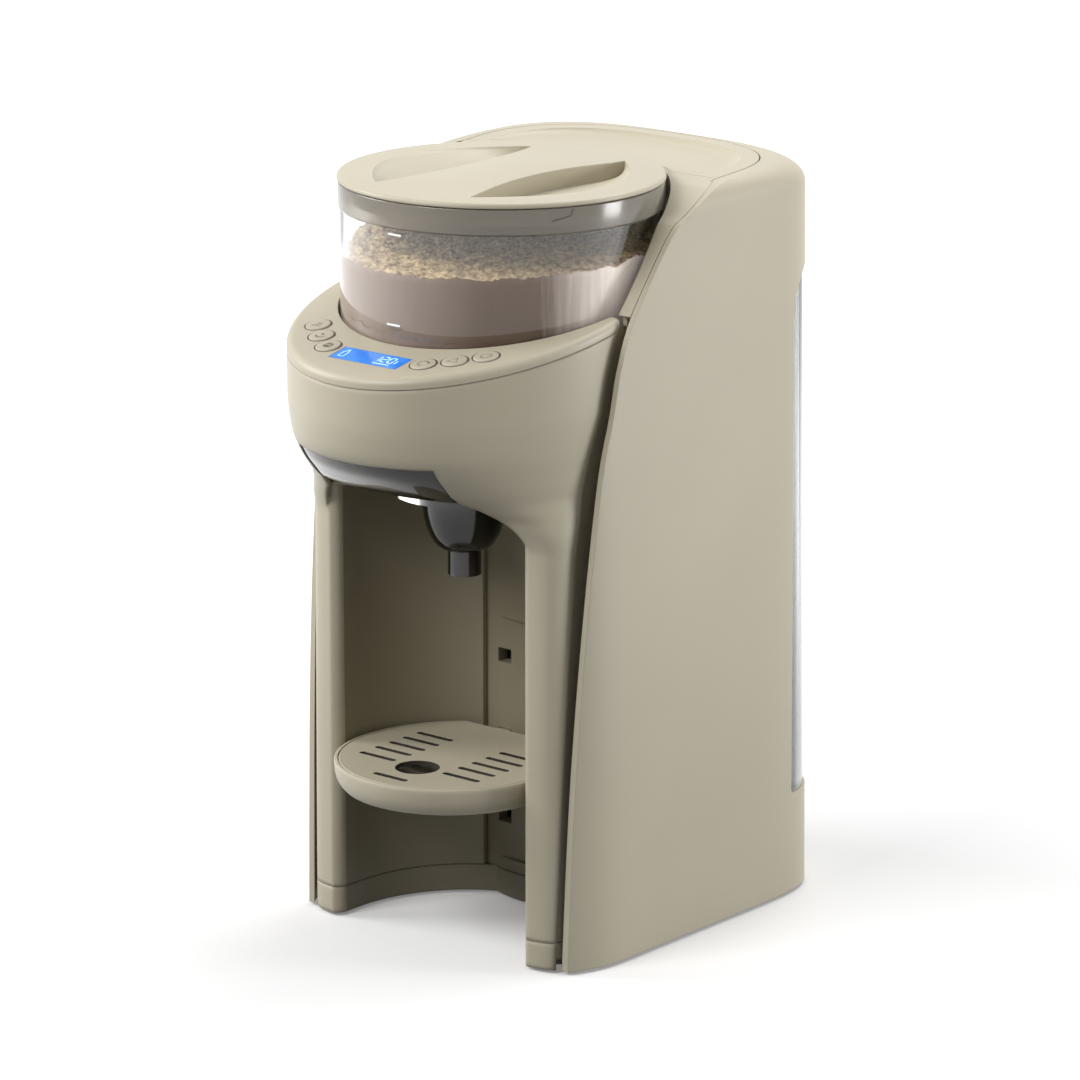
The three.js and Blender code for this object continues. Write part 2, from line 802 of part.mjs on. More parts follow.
function hopperCollar() {
  const { core, under } = topSkin();
  const seam = block(-bodyWidth, bodyWidth, -bodyDepth, lidSeamY, 0, 2 * bodyHeight);
  const ring = wellOuter().intersect(core);
  const foot = block(-bodyWidth, bodyWidth, -bodyDepth, deckRearY + tipClearance,
    0, deckHeight + deckSlope * deckRearY + seatGap);
  return core.subtract(under).intersect(seam).add(ring)
    .subtract(block(-bodyWidth, bodyWidth, -bodyDepth, bodyDepth, 0, hopperFloor))
    .subtract(collarUnderside())
    .subtract(wellInner())
    .subtract(foot)
    .subtract(notches());
}

// Side skirts of the collar stop a little below its top skin
function collarUnderside() {
  const low = prismX([
    [-bodyDepth, 0], [lidSeamY + overrun, 0], [lidSeamY + overrun, bodyHeight - 4 * coverSkirt],
    ...profilePoints.filter(([y, z]) => y > deckRearY && y < lidSeamY)
      .map(([y, z]) => [y, z - 3 * coverSkirt]).reverse(),
    [-bodyDepth, 0.7 * bodyHeight],
  ], -bodyWidth, bodyWidth);
  return low.subtract(wellOuter());
}

function notches() {
  const y = hopperY + Math.sqrt((wellRadius + wellWall) ** 2 - notchX ** 2);
  return post(notchRadius, notchX, y, 0, 2 * bodyHeight)
    .add(post(notchRadius, -notchX, y, 0, 2 * bodyHeight));
}

function dish() {
  const levels = 5;
  const rings = [];
  const behindFront = (p) => p.y > dishFrontY + dishInset;
  const deepest = towerRing(bodyHeight, mouthInset + 2 * dishInset, rimPower);
  const start = deepest.findIndex(behindFront);
  const count = deepest.filter(behindFront).length;
  for (let i = 0; i <= levels; i += 1) {
    const turn = Math.PI * i / (2 * levels);
    const inset = mouthInset + dishInset * (2 - Math.sin(turn));
    const lift = bodyHeight - dishDepth * Math.cos(turn);
    const ring = towerRing(bodyHeight, inset, rimPower).slice(start, start + count)
      .map((p) => new THREE.Vector3(p.x, p.y, lift));
    const frontY = dishFrontY + dishInset * (1 - Math.sin(turn));
    const [first, last] = [ring[0], ring.at(-1)];
    ring.push(new THREE.Vector3(last.x, frontY, lift), new THREE.Vector3(first.x, frontY, lift));
    rings.push(ring);
  }
  rings.push(rings.at(-1).map((p) => p.clone().setZ(bodyHeight + overrun)));
  return loft(rings);
}

function towerLid() {
  const { core } = topSkin();
  const seam = block(-bodyWidth, bodyWidth, lidSeamY + seatGap, bodyDepth, 0, 2 * bodyHeight);
  const mouth = roofMouth(seatGap + slideGap / 2, 0, 2 * bodyHeight);
  const slab = block(-bodyWidth, bodyWidth, -bodyDepth, bodyDepth,
    bodyHeight - topRoll / 2 - coverSkirt, 2 * bodyHeight);
  const hollow = roofMouth(seatGap + wall, 0, bodyHeight - topRoll / 2)
    .intersect(block(-bodyWidth, bodyWidth, lidSeamY + wall, bodyDepth, 0, bodyHeight))
    .subtract(post(wellRadius + 2 * wellWall + wall, 0, hopperY, 0, bodyHeight, roundSides));
  return core.intersect(seam).intersect(mouth).intersect(slab)
    .subtract(post(wellRadius + wellWall + seatGap, 0, hopperY, 0, 2 * bodyHeight, roundSides))
    .subtract(hollow)
    .subtract(dish());
}

function bayBack() {
  const bottom = baySeam + seatGap;
  const edge = bayBackHalf + wall;
  const faceHalf = bayBackHalf - seatGap;
  const { back } = bayOutline(0);
  const face = back.map(([x, y]) => [x, y + seatGap]);
  const rear = bayBackY + backThickness;
  const plate = prismZ([
    [faceHalf, bayBackY], ...face, [-faceHalf, bayBackY],
    [-edge, bayBackY], [-edge, rear], [edge, rear], [edge, bayBackY],
  ], bottom, bayTop);
  const channel = block(-channelHalf, channelHalf, -bodyDepth, bayBackY - bayBackBulge + channelDepth,
    channelFloor, channelTop);
  let cut = plate.subtract(channel);
  for (const step of [-1, 0, 1]) {
    const top = trayTop - hookDrop + step * hookPitch + seatGap;
    for (const side of [-1, 1]) {
      cut = cut.subtract(block(
        side * hookHalf - hookWidth / 2 - seatGap, side * hookHalf + hookWidth / 2 + seatGap,
        -bodyDepth, bodyDepth, top - hookHeight - 2 * seatGap, top));
    }
  }
  return cut;
}

function bayCeiling() {
  const z0 = bayTop + seatGap;
  const slot = block(-runnerHalf - seatGap - wall, runnerHalf + seatGap + wall,
    -bodyDepth, carrierRearY + wall + 2 * seatGap, 0, bodyHeight);
  const half = mouthHalf + wall;
  return block(-half, half, legFrontY - mouthRadius, bayBackY + wall, z0, z0 + ceilingThickness)
    .intersect(shellBody(wall + seatGap, baySeam, deckHeight)
      .add(block(-bodyWidth, bodyWidth, shellCentreY, rearY, 0, bodyHeight)))
    .subtract(slot);
}

// Control deck: crescent slab with a rounded outer edge and round key holes
const deckMatrix = new THREE.Matrix4().makeTranslation(0, 0, deckHeight)
  .multiply(new THREE.Matrix4().makeRotationX(deckAngle));

function onDeck(geometry) {
  geometry.applyMatrix4(deckMatrix);
  return solid(geometry);
}

function deckHole(radius, x, y) {
  const depth = deckThickness + 2 * overrun;
  const geometry = new THREE.CylinderGeometry(radius, radius, depth, mediumSides);
  geometry.rotateX(Math.PI / 2);
  geometry.translate(x, y / deckCos, -deckThickness / 2);
  return onDeck(geometry);
}

function deckBlock(width, depth, z0, z1) {
  const geometry = new THREE.BoxGeometry(width, depth, z1 - z0);
  geometry.translate(0, displayY / deckCos, (z0 + z1) / 2);
  return onDeck(geometry);
}

function controlDeck() {
  const rings = deckEdgeShares.map(([up, inward]) => {
    const rise = deckThickness * (1 - up);
    return shellRing(sweepEnd, deckEdgeRadius * inward, (y) => deckHeight + deckSlope * y - rise);
  });
  let deck = loft(rings)
    .intersect(aheadOfProfile(grooveWidth))
    .subtract(block(-bodyWidth, bodyWidth, deckRearY, bodyDepth, 0, bodyHeight))
    .subtract(post(deckBore, 0, hopperY, 0, bodyHeight, roundSides))
    .subtract(deckBlock(displayWidth + 2 * seatGap, displayDepth + 2 * seatGap,
      -displayThickness, overrun))
    .subtract(deckBlock(displayWidth - 2 * displayLedge, displayDepth - 2 * displayLedge,
      -deckThickness - overrun, overrun));
  for (const [x, y] of buttonPlaces) {
    deck = deck.subtract(deckHole(buttonRadius + seatGap, x, y));
  }
  return deck;
}

function button() {
  const top = buttonProud;
  const flangeTop = -deckThickness * deckCos - seatGap;
  const flangeLow = flangeTop - buttonFlangeThickness;
  return turned([
    [0, top], [buttonRadius - buttonProud, top], [buttonRadius, top - buttonProud],
    [buttonRadius, flangeTop], [buttonFlange, flangeTop], [buttonFlange, flangeLow],
    [buttonStem, flangeLow], [buttonStem, flangeLow - buttonStemDrop],
    [0, flangeLow - buttonStemDrop],
  ], 0, 0, mediumSides);
}

function buttonBoard() {
  const top = -boardDrop;
  const ring = shellRing(sweepEnd, wall + slideGap).map((p) => [p.x, p.y / deckCos]);
  const plate = prismZ(ring, top - boardThickness, top);
  const bore = post(wellRadius + wellWall, 0, hopperY / deckCos, -bodyHeight, bodyHeight, roundSides);
  const rear = block(-bodyWidth, bodyWidth, hopperY - bayHalfWidth, bodyDepth, -bodyHeight, bodyHeight);
  return plate.subtract(bore).subtract(rear);
}

// Hopper, its lid and what turns inside
function hopperContainer() {
  const inner = hopperRadius - hopperWall;
  const step = hopperBandRadius - hopperRadius;
  return turned([
    [0, hopperFloor], [hopperRadius, hopperFloor], [hopperRadius, hopperBand],
    [hopperBandRadius, hopperBand + step], [hopperBandRadius, hopperTop],
    [inner, hopperTop], [inner, hopperFloor + hopperWall], [0, hopperFloor + hopperWall],
  ], 0, hopperY)
    .subtract(post(outletRadius, 0, hopperY - outletOffset, 0, hopperFloor + overrun, mediumSides))
    .subtract(post(shaftRadius + slideGap, 0, hopperY, 0, hopperFloor + overrun, mediumSides));
}

const dosingBottom = hopperFloor + hopperWall + seatGap;
const dosingTop = dosingBottom + dosingThickness;

function dosingDisc() {
  let disc = post(dosingRadius, 0, hopperY, dosingBottom, dosingTop, roundSides);
  for (let i = 0; i < pocketCount; i += 1) {
    const turn = 2 * Math.PI * (i + 0.5) / pocketCount;
    disc = disc.subtract(post(pocketRadius, outletOffset * Math.sin(turn),
      hopperY + outletOffset * Math.cos(turn), 0, bodyHeight));
  }
  return disc.subtract(shaftBore(0, bodyHeight));
}

function agitator() {
  const low = dosingTop + seatGap;
  const bladeLow = low + scraperThickness + slideGap;
  const hub = turned([
    [0, low + hubHeight], [hubRadius / 2, low + hubHeight], [hubRadius, low + hubHeight / 2],
    [hubRadius, low], [0, low],
  ], 0, hopperY, mediumSides);
  let body = hub;
  for (let i = 0; i < paddleCount; i += 1) {
    const blade = block(hubRadius / 2, paddleReach, -paddleThickness / 2, paddleThickness / 2,
      bladeLow, bladeLow + paddleHeight);
    const turn = 360 * (i + 0.5) / paddleCount;
    body = body.add(blade.rotate([0, 0, turn]).translate([0, hopperY, 0]));
  }
  return body.subtract(shaftBore(0, shaftTop() + seatGap));
}

const shaftTop = () => dosingTop + hubHeight / 2;

// D-shaped bore that the flat of the drive shaft turns
function shaftBore(z0, z1) {
  const reach = 2 * shaftRadius;
  const flat = shaftRadius - shaftFlat + seatGap;
  return post(shaftRadius + seatGap, 0, hopperY, z0, z1, mediumSides)
    .subtract(block(flat, 2 * reach, hopperY - reach, hopperY + reach, z0 - overrun, z1 + overrun));
}

function scraper() {
  const low = dosingTop + seatGap;
  const reach = outletOffset + 2 * outletRadius;
  const halfSpan = 1.4 * outletRadius;
  const plate = prismZ([
    [-halfSpan, hopperY - hubRadius - slideGap], [-halfSpan, hopperY - reach],
    [halfSpan, hopperY - reach], [halfSpan, hopperY - hubRadius - slideGap],
  ], low, low + scraperThickness);
  const arm = block(-halfSpan / 2, halfSpan / 2, hopperY - hopperRadius + hopperWall + slideGap,
    hopperY - reach + wall, low, low + scraperThickness);
  return plate.add(arm);
}

// Half outline of the grip bar: wide at its ends, narrow at the waist
function gripOutline(margin) {
  const points = [];
  const steps = 2 * arcSteps;
  for (let i = 0; i <= steps; i += 1) {
    const share = 2 * i / steps - 1;
    const half = gripWaistHalf + (gripEndHalf - gripWaistHalf) * share * share;
    points.push([half + margin, share * gripEndY]);
  }
  return points;
}

function scoop() {
  const inner = gripOutline(0);
  const steps = 2 * arcSteps;
  const outer = [];
  for (let i = 1; i < steps; i += 1) {
    const share = 1 - 2 * i / steps;
    outer.push([gripEndHalf + (scoopReach - gripEndHalf) * (1 - share * share), share * gripEndY]);
  }
  const rings = [];
  for (const [depth, reach] of [[0, 1], [0.25, 0.82], [0.6, 0.55], [1, 0.12]]) {
    const edge = outer.map(([x, y]) => {
      const share = y / gripEndY;
      const near = gripWaistHalf + (gripEndHalf - gripWaistHalf) * share * share;
      return [near + (x - near) * reach, y];
    });
    rings.push([...inner, ...edge].map(
      ([x, y]) => new THREE.Vector3(x, hopperY + y, lidTop - scoopDepth * depth)));
  }
  rings.reverse();
  rings.push(rings.at(-1).map((p) => p.clone().setZ(lidTop + gripCrown + overrun)));
  return loft(rings);
}

function hopperLid() {
  const rimLow = lidTop - lidRim;
  const plugRadius = hopperRadius - hopperWall - lidPlugGap;
  const plugLow = rimLow - lidPlugDepth;
  const crest = lidTop + gripCrown;
  const disc = turned([
    [0, plugLow], [plugRadius, plugLow], [plugRadius, rimLow], [lidRadius, rimLow],
    [lidRadius, lidTop - lidRim / 3], [lidRadius - lidRim / 3, lidTop], [0, lidTop],
  ], 0, hopperY);
  const bar = [];
  for (let i = 0; i <= 2 * arcSteps; i += 1) {
    const share = 1 - i / arcSteps;
    bar.push([gripEndHalf * share, lidTop + (crest - lidTop) * Math.cos(Math.PI * share / 2)]);
  }
  bar.push([-gripEndHalf, rimLow], [gripEndHalf, rimLow]);
  const crown = prismY(bar, hopperY - gripEndY, hopperY + gripEndY)
    .intersect(post(lidRadius - lidRim, 0, hopperY, 0, 2 * bodyHeight, roundSides));
  const under = post(plugRadius - wall, 0, hopperY, plugLow - overrun, plugLow + wall, roundSides);
  const hollowBar = block(-gripWaistHalf + wall, gripWaistHalf - wall,
    hopperY - gripEndY, hopperY + gripEndY, plugLow - overrun, rimLow);
  const right = scoop();
  return disc.add(crown).subtract(under).subtract(hollowBar)
    .subtract(right).subtract(right.mirror([1, 0, 0]));
}

function lidSeal() {
  const inner = hopperRadius - hopperWall - lidPlugGap + seatGap;
  const outer = hopperRadius - hopperWall - seatGap;
  const top = lidTop - lidRim - seatGap;
  return turned([
    [inner, top - lidSealHeight], [outer, top - lidSealHeight / 2], [inner, top],
  ], 0, hopperY);
}

// Gears with straight-flanked teeth; turn sets the angle of a tooth centre
function gear(teeth, x, y, z0, z1, bore, turn) {
  const pitch = gearModule * teeth / 2;
  const [tip, root] = [pitch + gearModule, pitch - 1.25 * gearModule];
  const slack = backlash / pitch / 2;
  const outline = [];
  for (let i = 0; i < teeth; i += 1) {
    const centre = turn + 2 * Math.PI * i / teeth;
    const quarter = Math.PI / teeth / 2;
    const rootHalf = 1.45 * quarter - slack;
    const tipHalf = 0.5 * quarter - slack / 2;
    for (const [radius, angle] of [
      [root, centre - rootHalf], [tip, centre - tipHalf],
      [tip, centre + tipHalf], [root, centre + rootHalf]]) {
      outline.push([x + radius * Math.cos(angle), y + radius * Math.sin(angle)]);
    }
  }
  return prismZ(outline, z0, z1).subtract(post(bore, x, y, z0 - overrun, z1 + overrun, mediumSides));
}

const gearLow = baseDeck + baseDeckThickness + gearLift;
const gearHigh = gearLow + gearThickness;
const idlerY = hopperY + gearModule * (gearTeeth + idlerTeeth) / 2;

function driveShaft() {
  const low = baseDeck + baseDeckThickness + seatGap;
  return turned([
    [0, low], [shaftRadius, low], [shaftRadius, shaftTop()], [0, shaftTop()],
  ], 0, hopperY, mediumSides).subtract(
    block(shaftRadius - shaftFlat, 2 * shaftRadius, hopperY - 2 * shaftRadius, hopperY + 2 * shaftRadius,
      gearHigh + seatGap, bodyHeight));
}

function dosingMotor() {
  const top = baseDeck - seatGap;
  return turned([
    [0, top - motorLength], [motorRadius - slideGap, top - motorLength],
    [motorRadius, top - motorLength + slideGap], [motorRadius, top], [0, top],
  ], 0, motorY, mediumSides);
}

function motorPinion() {
  const shaft = post(motorShaftRadius, 0, motorY, baseDeck + seatGap, gearHigh + seatGap);
  return gear(pinionTeeth, 0, motorY, gearLow, gearHigh, motorShaftRadius / 2,
    -Math.PI / 2).add(shaft);
}

function dispenserBase() {
  const top = baseDeck + baseDeckThickness;
  const plate = block(-baseHalfWidth, baseHalfWidth, baseFrontY, frameFrontY - seatGap, baseDeck, top);
  const stop = carrierRearY + wall + seatGap;
  const lipTop = carrierBottom - seatGap;
  const lipLow = lipTop - runnerLipThickness;
  let body = plate;
  for (const side of [-1, 1]) {
    const wallX = [side * runnerHalf, side * (runnerHalf + wall)].sort((a, b) => a - b);
    const lipX = [side * (runnerHalf - runnerLip), side * (runnerHalf + wall)].sort((a, b) => a - b);
    body = body.add(block(...wallX, baseFrontY, stop, lipLow, top))
      .add(block(...lipX, baseFrontY, stop, lipLow, lipTop));
  }
  const holes = [
    [outletRadius + seatGap, 0, funnelY], [nozzleBarb + seatGap, nozzleX, nozzleY],
    [motorShaftRadius + seatGap, 0, motorY], [hoseRadius + 4 * slideGap, heaterX, heaterY],
  ];
  for (const [radius, x, y] of holes) {
    body = body.subtract(post(radius, x, y, 0, bodyHeight, mediumSides));
  }
  return body.intersect(shellBody(wall + seatGap, baySeam, deckHeight)
    .add(block(-bodyWidth, bodyWidth, shellCentreY, rearY, 0, bodyHeight)));
}

function hopperSeat() {
  const top = hopperFloor - seatGap;
  const low = top - seatThickness;
  const wide = wellRadius + wellWall + slideGap;
  const narrow = hopperRadius - slideGap;
  let body = post(narrow, 0, hopperY, low, top, roundSides)
    .add(post(wide, 0, hopperY, low, top, roundSides)
      .intersect(block(-bodyWidth, bodyWidth, deckRearY + 2 * tipClearance, bodyDepth, 0, bodyHeight)));
  const floor = baseDeck + baseDeckThickness + seatGap;
  for (const x of [seatPostX, -seatPostX]) {
    body = body.add(post(seatPostRadius, x, seatPostFrontY, floor, low + seatGap))
      .add(post(seatPostRadius, x, seatPostRearY, floor, low + seatGap));
  }
  const chute = post(outletRadius + chuteWall, 0, funnelY, floor, low + seatGap, mediumSides);
  return body.add(chute)
    .subtract(post(outletRadius, 0, funnelY, 0, bodyHeight, mediumSides))
    .subtract(post(shaftRadius + seatGap, 0, hopperY, 0, bodyHeight, mediumSides));
}

// Funnel hanging in the smoke carrier that slides out under the head
function funnel() {
  const top = carrierBottom + carrierThickness + seatGap + funnelFlangeThickness;
  const low = top - funnelDrop;
  const shoulder = top - funnelShoulderDrop;
  const neck = top - funnelNeckDrop;
  const curve = [];
  for (let i = 0; i <= arcSteps; i += 1) {
    const share = i / arcSteps;
    curve.push([
      funnelShoulder + (funnelNeck - funnelShoulder) * (1 - Math.cos(Math.PI * share)) / 2,
      shoulder + (neck - shoulder) * share,
    ]);
  }
  const outer = [
    [funnelFlange, top], [funnelFlange, top - funnelFlangeThickness],
    [funnelMouth, top - funnelFlangeThickness], ...curve, [funnelNeck, low],
  ];
  const inner = [
    [funnelNeck - funnelWall, low],
    ...curve.map(([r, z]) => [r - funnelWall, z]).reverse(), [funnelMouth - funnelWall, top],
  ];
  return turned([...outer, ...inner], 0, funnelY, mediumSides + smallSides);
}

function funnelCover() {
  const low = carrierBottom;
  const top = archCrown - seatGap;
  const half = runnerHalf - slideGap;
  const crownHalf = mouthHalf * archShares.at(-1)[0] - slideGap;
  const frontView = prismY([
    [-crownHalf, top], [-half, carrierBottom + carrierThickness], [-half, low],
    [half, low], [half, carrierBottom + carrierThickness], [crownHalf, top],
  ], noseY, shellCentreY - visorInset);
  const visor = shellBody(visorInset, low - overrun, top + overrun)
    .subtract(shellBody(visorInset + visorWall, low - 2 * overrun, top + 2 * overrun))
    .intersect(frontView);
  const plan = shellBody(visorInset, low, low + carrierThickness)
    .add(block(-bodyWidth, bodyWidth, shellCentreY - overrun, bodyDepth, low, low + carrierThickness));
  const floor = block(-half, half, -bodyDepth, carrierRearY, low, low + carrierThickness)
    .intersect(plan);
  return visor.add(floor)
    .subtract(post(funnelMouth + seatGap, 0, funnelY, 0, bodyHeight, mediumSides + smallSides));
}

// Plan outline of the drip tray: half round in front, narrower inside the bay
function trayOutline(inset) {
  const radius = trayRadius - inset;
  const rearRun = trayRearRun - inset;
  const stop = Math.asin((trayRearY - inset - trayCentreY) / rearRun);
  const points = [];
  for (let i = 0; i <= mediumSides; i += 1) {
    const turn = Math.PI * (1 + i / mediumSides);
    points.push([radius * Math.cos(turn), trayCentreY + radius * Math.sin(turn)]);
  }
  for (let i = 1; i <= arcSteps; i += 1) {
    const turn = stop * i / arcSteps;
    points.push([radius * Math.cos(turn), trayCentreY + rearRun * Math.sin(turn)]);
  }
  for (let i = arcSteps; i >= 1; i -= 1) {
    const turn = stop * i / arcSteps;
    points.push([-radius * Math.cos(turn), trayCentreY + rearRun * Math.sin(turn)]);
  }
  return points;
}

const atHeight = (points, z) => points.map(([x, y]) => new THREE.Vector3(x, y, z));

function dripTray() {
  const low = trayTop - trayHeight;
  const outer = loft([
    atHeight(trayOutline(trayTaper), low),
    atHeight(trayOutline(trayTaper / 3), low + trayHeight / 3),
    atHeight(trayOutline(0), trayTop - trayWall),
    atHeight(trayOutline(0), trayTop),
  ]);
  const pan = loft([
    atHeight(trayOutline(trayTaper + trayWall), low + trayWall),
    atHeight(trayOutline(grilleInset + trayWall), trayTop + overrun),
  ]);
  const rebate = loft([
    atHeight(trayOutline(grilleInset), trayTop - grilleThickness - seatGap),
    atHeight(trayOutline(grilleInset), trayTop + overrun),
  ]);
  let body = outer.subtract(pan).subtract(rebate);
  const top = trayTop - hookDrop;
  for (const side of [-1, 1]) {
    body = body.add(block(side * hookHalf - hookWidth / 2, side * hookHalf + hookWidth / 2,
      trayRearY - trayTaper - trayWall / 2, trayRearY + hookReach, top - hookHeight, top));
  }
  return body;
}

function slot(x0, x1, y) {
  const half = slotWidth / 2;
  const points = [];
  for (let i = 0; i <= arcSteps / 2; i += 1) {
    const turn = -Math.PI / 2 + Math.PI * i / (arcSteps / 2);
    points.push([x1 - half + half * Math.cos(turn), y + half * Math.sin(turn)]);
  }
  for (let i = 0; i <= arcSteps / 2; i += 1) {
    const turn = Math.PI / 2 + Math.PI * i / (arcSteps / 2);
    points.push([x0 + half + half * Math.cos(turn), y + half * Math.sin(turn)]);
  }
  return prismZ(points, 0, bodyHeight);
}

function dripGrille() {
  const outline = trayOutline(grilleInset + seatGap);
  let body = prismZ(outline, trayTop - grilleThickness, trayTop)
    .subtract(post(grilleHole, 0, grilleHoleY, 0, bodyHeight, mediumSides))
    .subtract(slot(-slotFrontHalf, slotFrontHalf, slotFrontY));
  for (const y of slotRows) {
    body = body.subtract(slot(slotInner, slotOuter, y)).subtract(slot(-slotOuter, -slotInner, y));
  }
  return body;
}

// Water tank: D-shaped, with rounded shoulders, a wide mouth and a valve spigot at its foot
function tankProfile(inset) {
  const half = tankHalfWidth - inset;
  const top = windowTop - slideGap - inset;
  const right = [];
  for (let i = 0; i <= arcSteps; i += 1) {
    const turn = Math.PI * i / (2 * arcSteps);
    right.push([
      half - shoulderWidth * (1 - Math.cos(turn)), top - shoulderHeight * (1 - Math.sin(turn)),
    ]);
  }
  const low = windowBottom + slideGap + inset;
  return prismY([[half, low], ...right, ...right.map(([x, z]) => [-x, z]).reverse(), [-half, low]],
    tankFrontY + inset, rearY);
}

const tankLow = windowBottom + slideGap;

function waterTank() {
  const body = towerBody(tankInset, 0).intersect(tankProfile(0));
  const room = towerBody(tankInset + tankWall, 0).intersect(tankProfile(tankWall));
  const mouth = block(-tankMouthHalf, tankMouthHalf, tankMouthFront, tankMouthRear,
    windowTop - shoulderHeight, bodyHeight);
  const spigot = rodY(spigotRadius, 0, valveHeight, tankFrontY - spigotLength, tankFrontY + tankWall / 2,
    mediumSides);
  const bore = rodY(spigotBore, 0, valveHeight, tankFrontY - spigotLength - overrun,
    tankFrontY + tankWall + overrun, mediumSides);
  return body.subtract(room).subtract(mouth).add(spigot).subtract(bore);
}

function tankValve() {
  const face = tankFrontY + tankWall + seatGap;
  return rodY(valveHead, 0, valveHeight, face, face + valveHeadThickness, mediumSides)
    .add(rodY(valveStem, 0, valveHeight, tankFrontY - spigotLength, face + valveHeadThickness / 2));
}

function valveDock() {
  const rear = frameFrontY - seatGap;
  const front = tankFrontY - spigotLength - dockLength;
  const bore = spigotRadius + slideGap;
  const body = rodY(bore + dockWall, 0, valveHeight, front, rear, mediumSides)
    .subtract(rodY(bore, 0, valveHeight, front + dockWall, rear + overrun, mediumSides));
  const probe = rodY(probeRadius, 0, valveHeight, front + dockWall / 2,
    tankFrontY - spigotLength - seatGap);
  const port = rodX(portRadius, front + dockWall + portRadius, valveHeight,
    -bore - dockWall - portLength / 2, -bore - dockWall / 4);
  return body.add(probe).add(port);
}

// Frame, base and the rest of the structure
function innerFrame() {
  const low = baseBottom + baseThickness + seatGap;
  const rear = frameFrontY + frameThickness;
  const room = towerBody(wall + seatGap, 0);
  const upright = block(-bodyWidth, bodyWidth, frameFrontY, rear, low, frameTop).intersect(room);
  const shelf = block(-bodyWidth, bodyWidth, frameFrontY, rearY,
    windowBottom - shelfThickness, windowBottom).intersect(room);
  const flank = room.subtract(towerBody(2 * wall + seatGap, -overrun))
    .intersect(block(-bodyWidth, bodyWidth, flangeFrontY, rear, low, frameTop));
  let body = upright.add(shelf).add(flank);
  for (const side of [-1, 1]) {
    body = body.add(block(side * ribHalf - wall / 2, side * ribHalf + wall / 2,
      frameFrontY, flankRearY + ribHalf, low, windowBottom - shelfThickness / 2));
  }
  return body.subtract(rodY(spigotRadius + slideGap, 0, valveHeight, 0, rearY, mediumSides));
}

function basePlate() {
  const top = baseBottom + baseThickness;
  const slab = (y0, y1) => block(-bodyWidth, bodyWidth, y0, y1, baseBottom, top);
  const rear = towerBody(wall + seatGap, 0).intersect(slab(baseSplitY, rearY));
  const legs = shellBody(wall + seatGap, 0, deckHeight).intersect(slab(noseY, baseSplitY + wall));
  const corner = mouthRadius + seatGap;
  let body = rear.add(legs).subtract(bayPrism(wall + seatGap, 0, bodyHeight))
    .subtract(post(corner, mouthHalf, mouthY, 0, bodyHeight, mediumSides))
    .subtract(post(corner, -mouthHalf, mouthY, 0, bodyHeight, mediumSides))
    .subtract(block(-mouthHalf, mouthHalf, noseY, mouthY, 0, bodyHeight));
  for (const [x, y] of screwPlaces) {
    body = body.subtract(post(screwRadius + seatGap, x, y, 0, top + overrun));
  }
  return body;
}

function baseScrew(x, y) {
  const seat = baseBottom - seatGap;
  return turned([
    [0, seat - screwHeadHeight], [screwHead, seat - screwHeadHeight], [screwHead, seat],
    [screwRadius, seat], [screwRadius, seat + screwLength], [0, seat + screwLength],
  ], x, y, smallSides);
}

function foot(x, y) {
  const top = baseBottom - seatGap;
  return turned([
    [0, 0], [footRadius - top / 2, 0], [footRadius, top / 2], [footRadius, top], [0, top],
  ], x, y, mediumSides);
}

// Pump, heater, hoses and electrics
const floorTop = baseBottom + baseThickness + seatGap;

function waterPump() {
  const neck = floorTop + pumpHeadHeight;
  const top = neck + pumpLength;
  return turned([
    [0, floorTop], [pumpHead, floorTop], [pumpHead, neck], [pumpRadius, neck],
    [pumpRadius, top], [portRadius, top], [portRadius, top + portLength], [0, top + portLength],
  ], pumpX, pumpY, mediumSides)
    .add(rodX(portRadius, pumpY, floorTop + pumpHeadHeight / 2, pumpX, pumpX + pumpHead + portLength));
}

function waterHeater() {
  const top = floorTop + heaterLength;
  return turned([
    [0, floorTop], [heaterRadius, floorTop], [heaterRadius, top - portLength],
    [heaterRadius - portRadius, top - portLength / 2], [portRadius, top - portLength / 2],
    [portRadius, top + portLength / 2], [0, top + portLength / 2],
  ], heaterX, heaterY, mediumSides)
    .add(rodX(portRadius, heaterY, floorTop + pumpHeadHeight / 2,
      heaterX - heaterRadius - portLength, heaterX));
}

// Routes of the hoses, from port to port
function tankHose() {
  const bore = spigotRadius + slideGap;
  const start = -bore - dockWall - portLength / 2 - seatGap;
  const y = tankFrontY - spigotLength - dockLength + dockWall + portRadius;
  const top = floorTop + pumpHeadHeight + pumpLength + portLength + seatGap;
  const rise = top + 2 * portLength;
  return hose([
    [start, y, valveHeight], [start - portLength, y, valveHeight],
    [start - 2 * portLength, (y + 3 * pumpY) / 4 + portRadius, rise - portRadius],
    [pumpX, pumpY, rise], [pumpX, pumpY, rise - portLength], [pumpX, pumpY, top],
  ]);
}

function pumpHose() {
  const start = pumpX + pumpHead + portLength + seatGap;
  const end = heaterX - heaterRadius - portLength - seatGap;
  const z = floorTop + pumpHeadHeight / 2;
  return hose([[start, pumpY, z], [0, (pumpY + heaterY) / 2, z], [end, heaterY, z]]);
}

function heaterHose() {
  const low = floorTop + heaterLength + portLength / 2 + seatGap;
  const top = gearHigh + hoseRadius + wall;
  const barb = baseDeck + baseDeckThickness + nozzleBarbLength + seatGap;
  const middle = (nozzleX + heaterX) / 2;
  return hose([
    [heaterX, heaterY, low], [heaterX, heaterY, (low + baseDeck) / 2],
    [heaterX, heaterY, baseDeck + baseDeckThickness + wall], [heaterX, heaterY - portLength, top],
    [heaterX, (nozzleY + heaterY) / 2, top], [middle, nozzleY + portLength, top],
    [nozzleX + portRadius, nozzleY, top], [nozzleX, nozzleY, top - portRadius], [nozzleX, nozzleY, barb],
  ]);
}

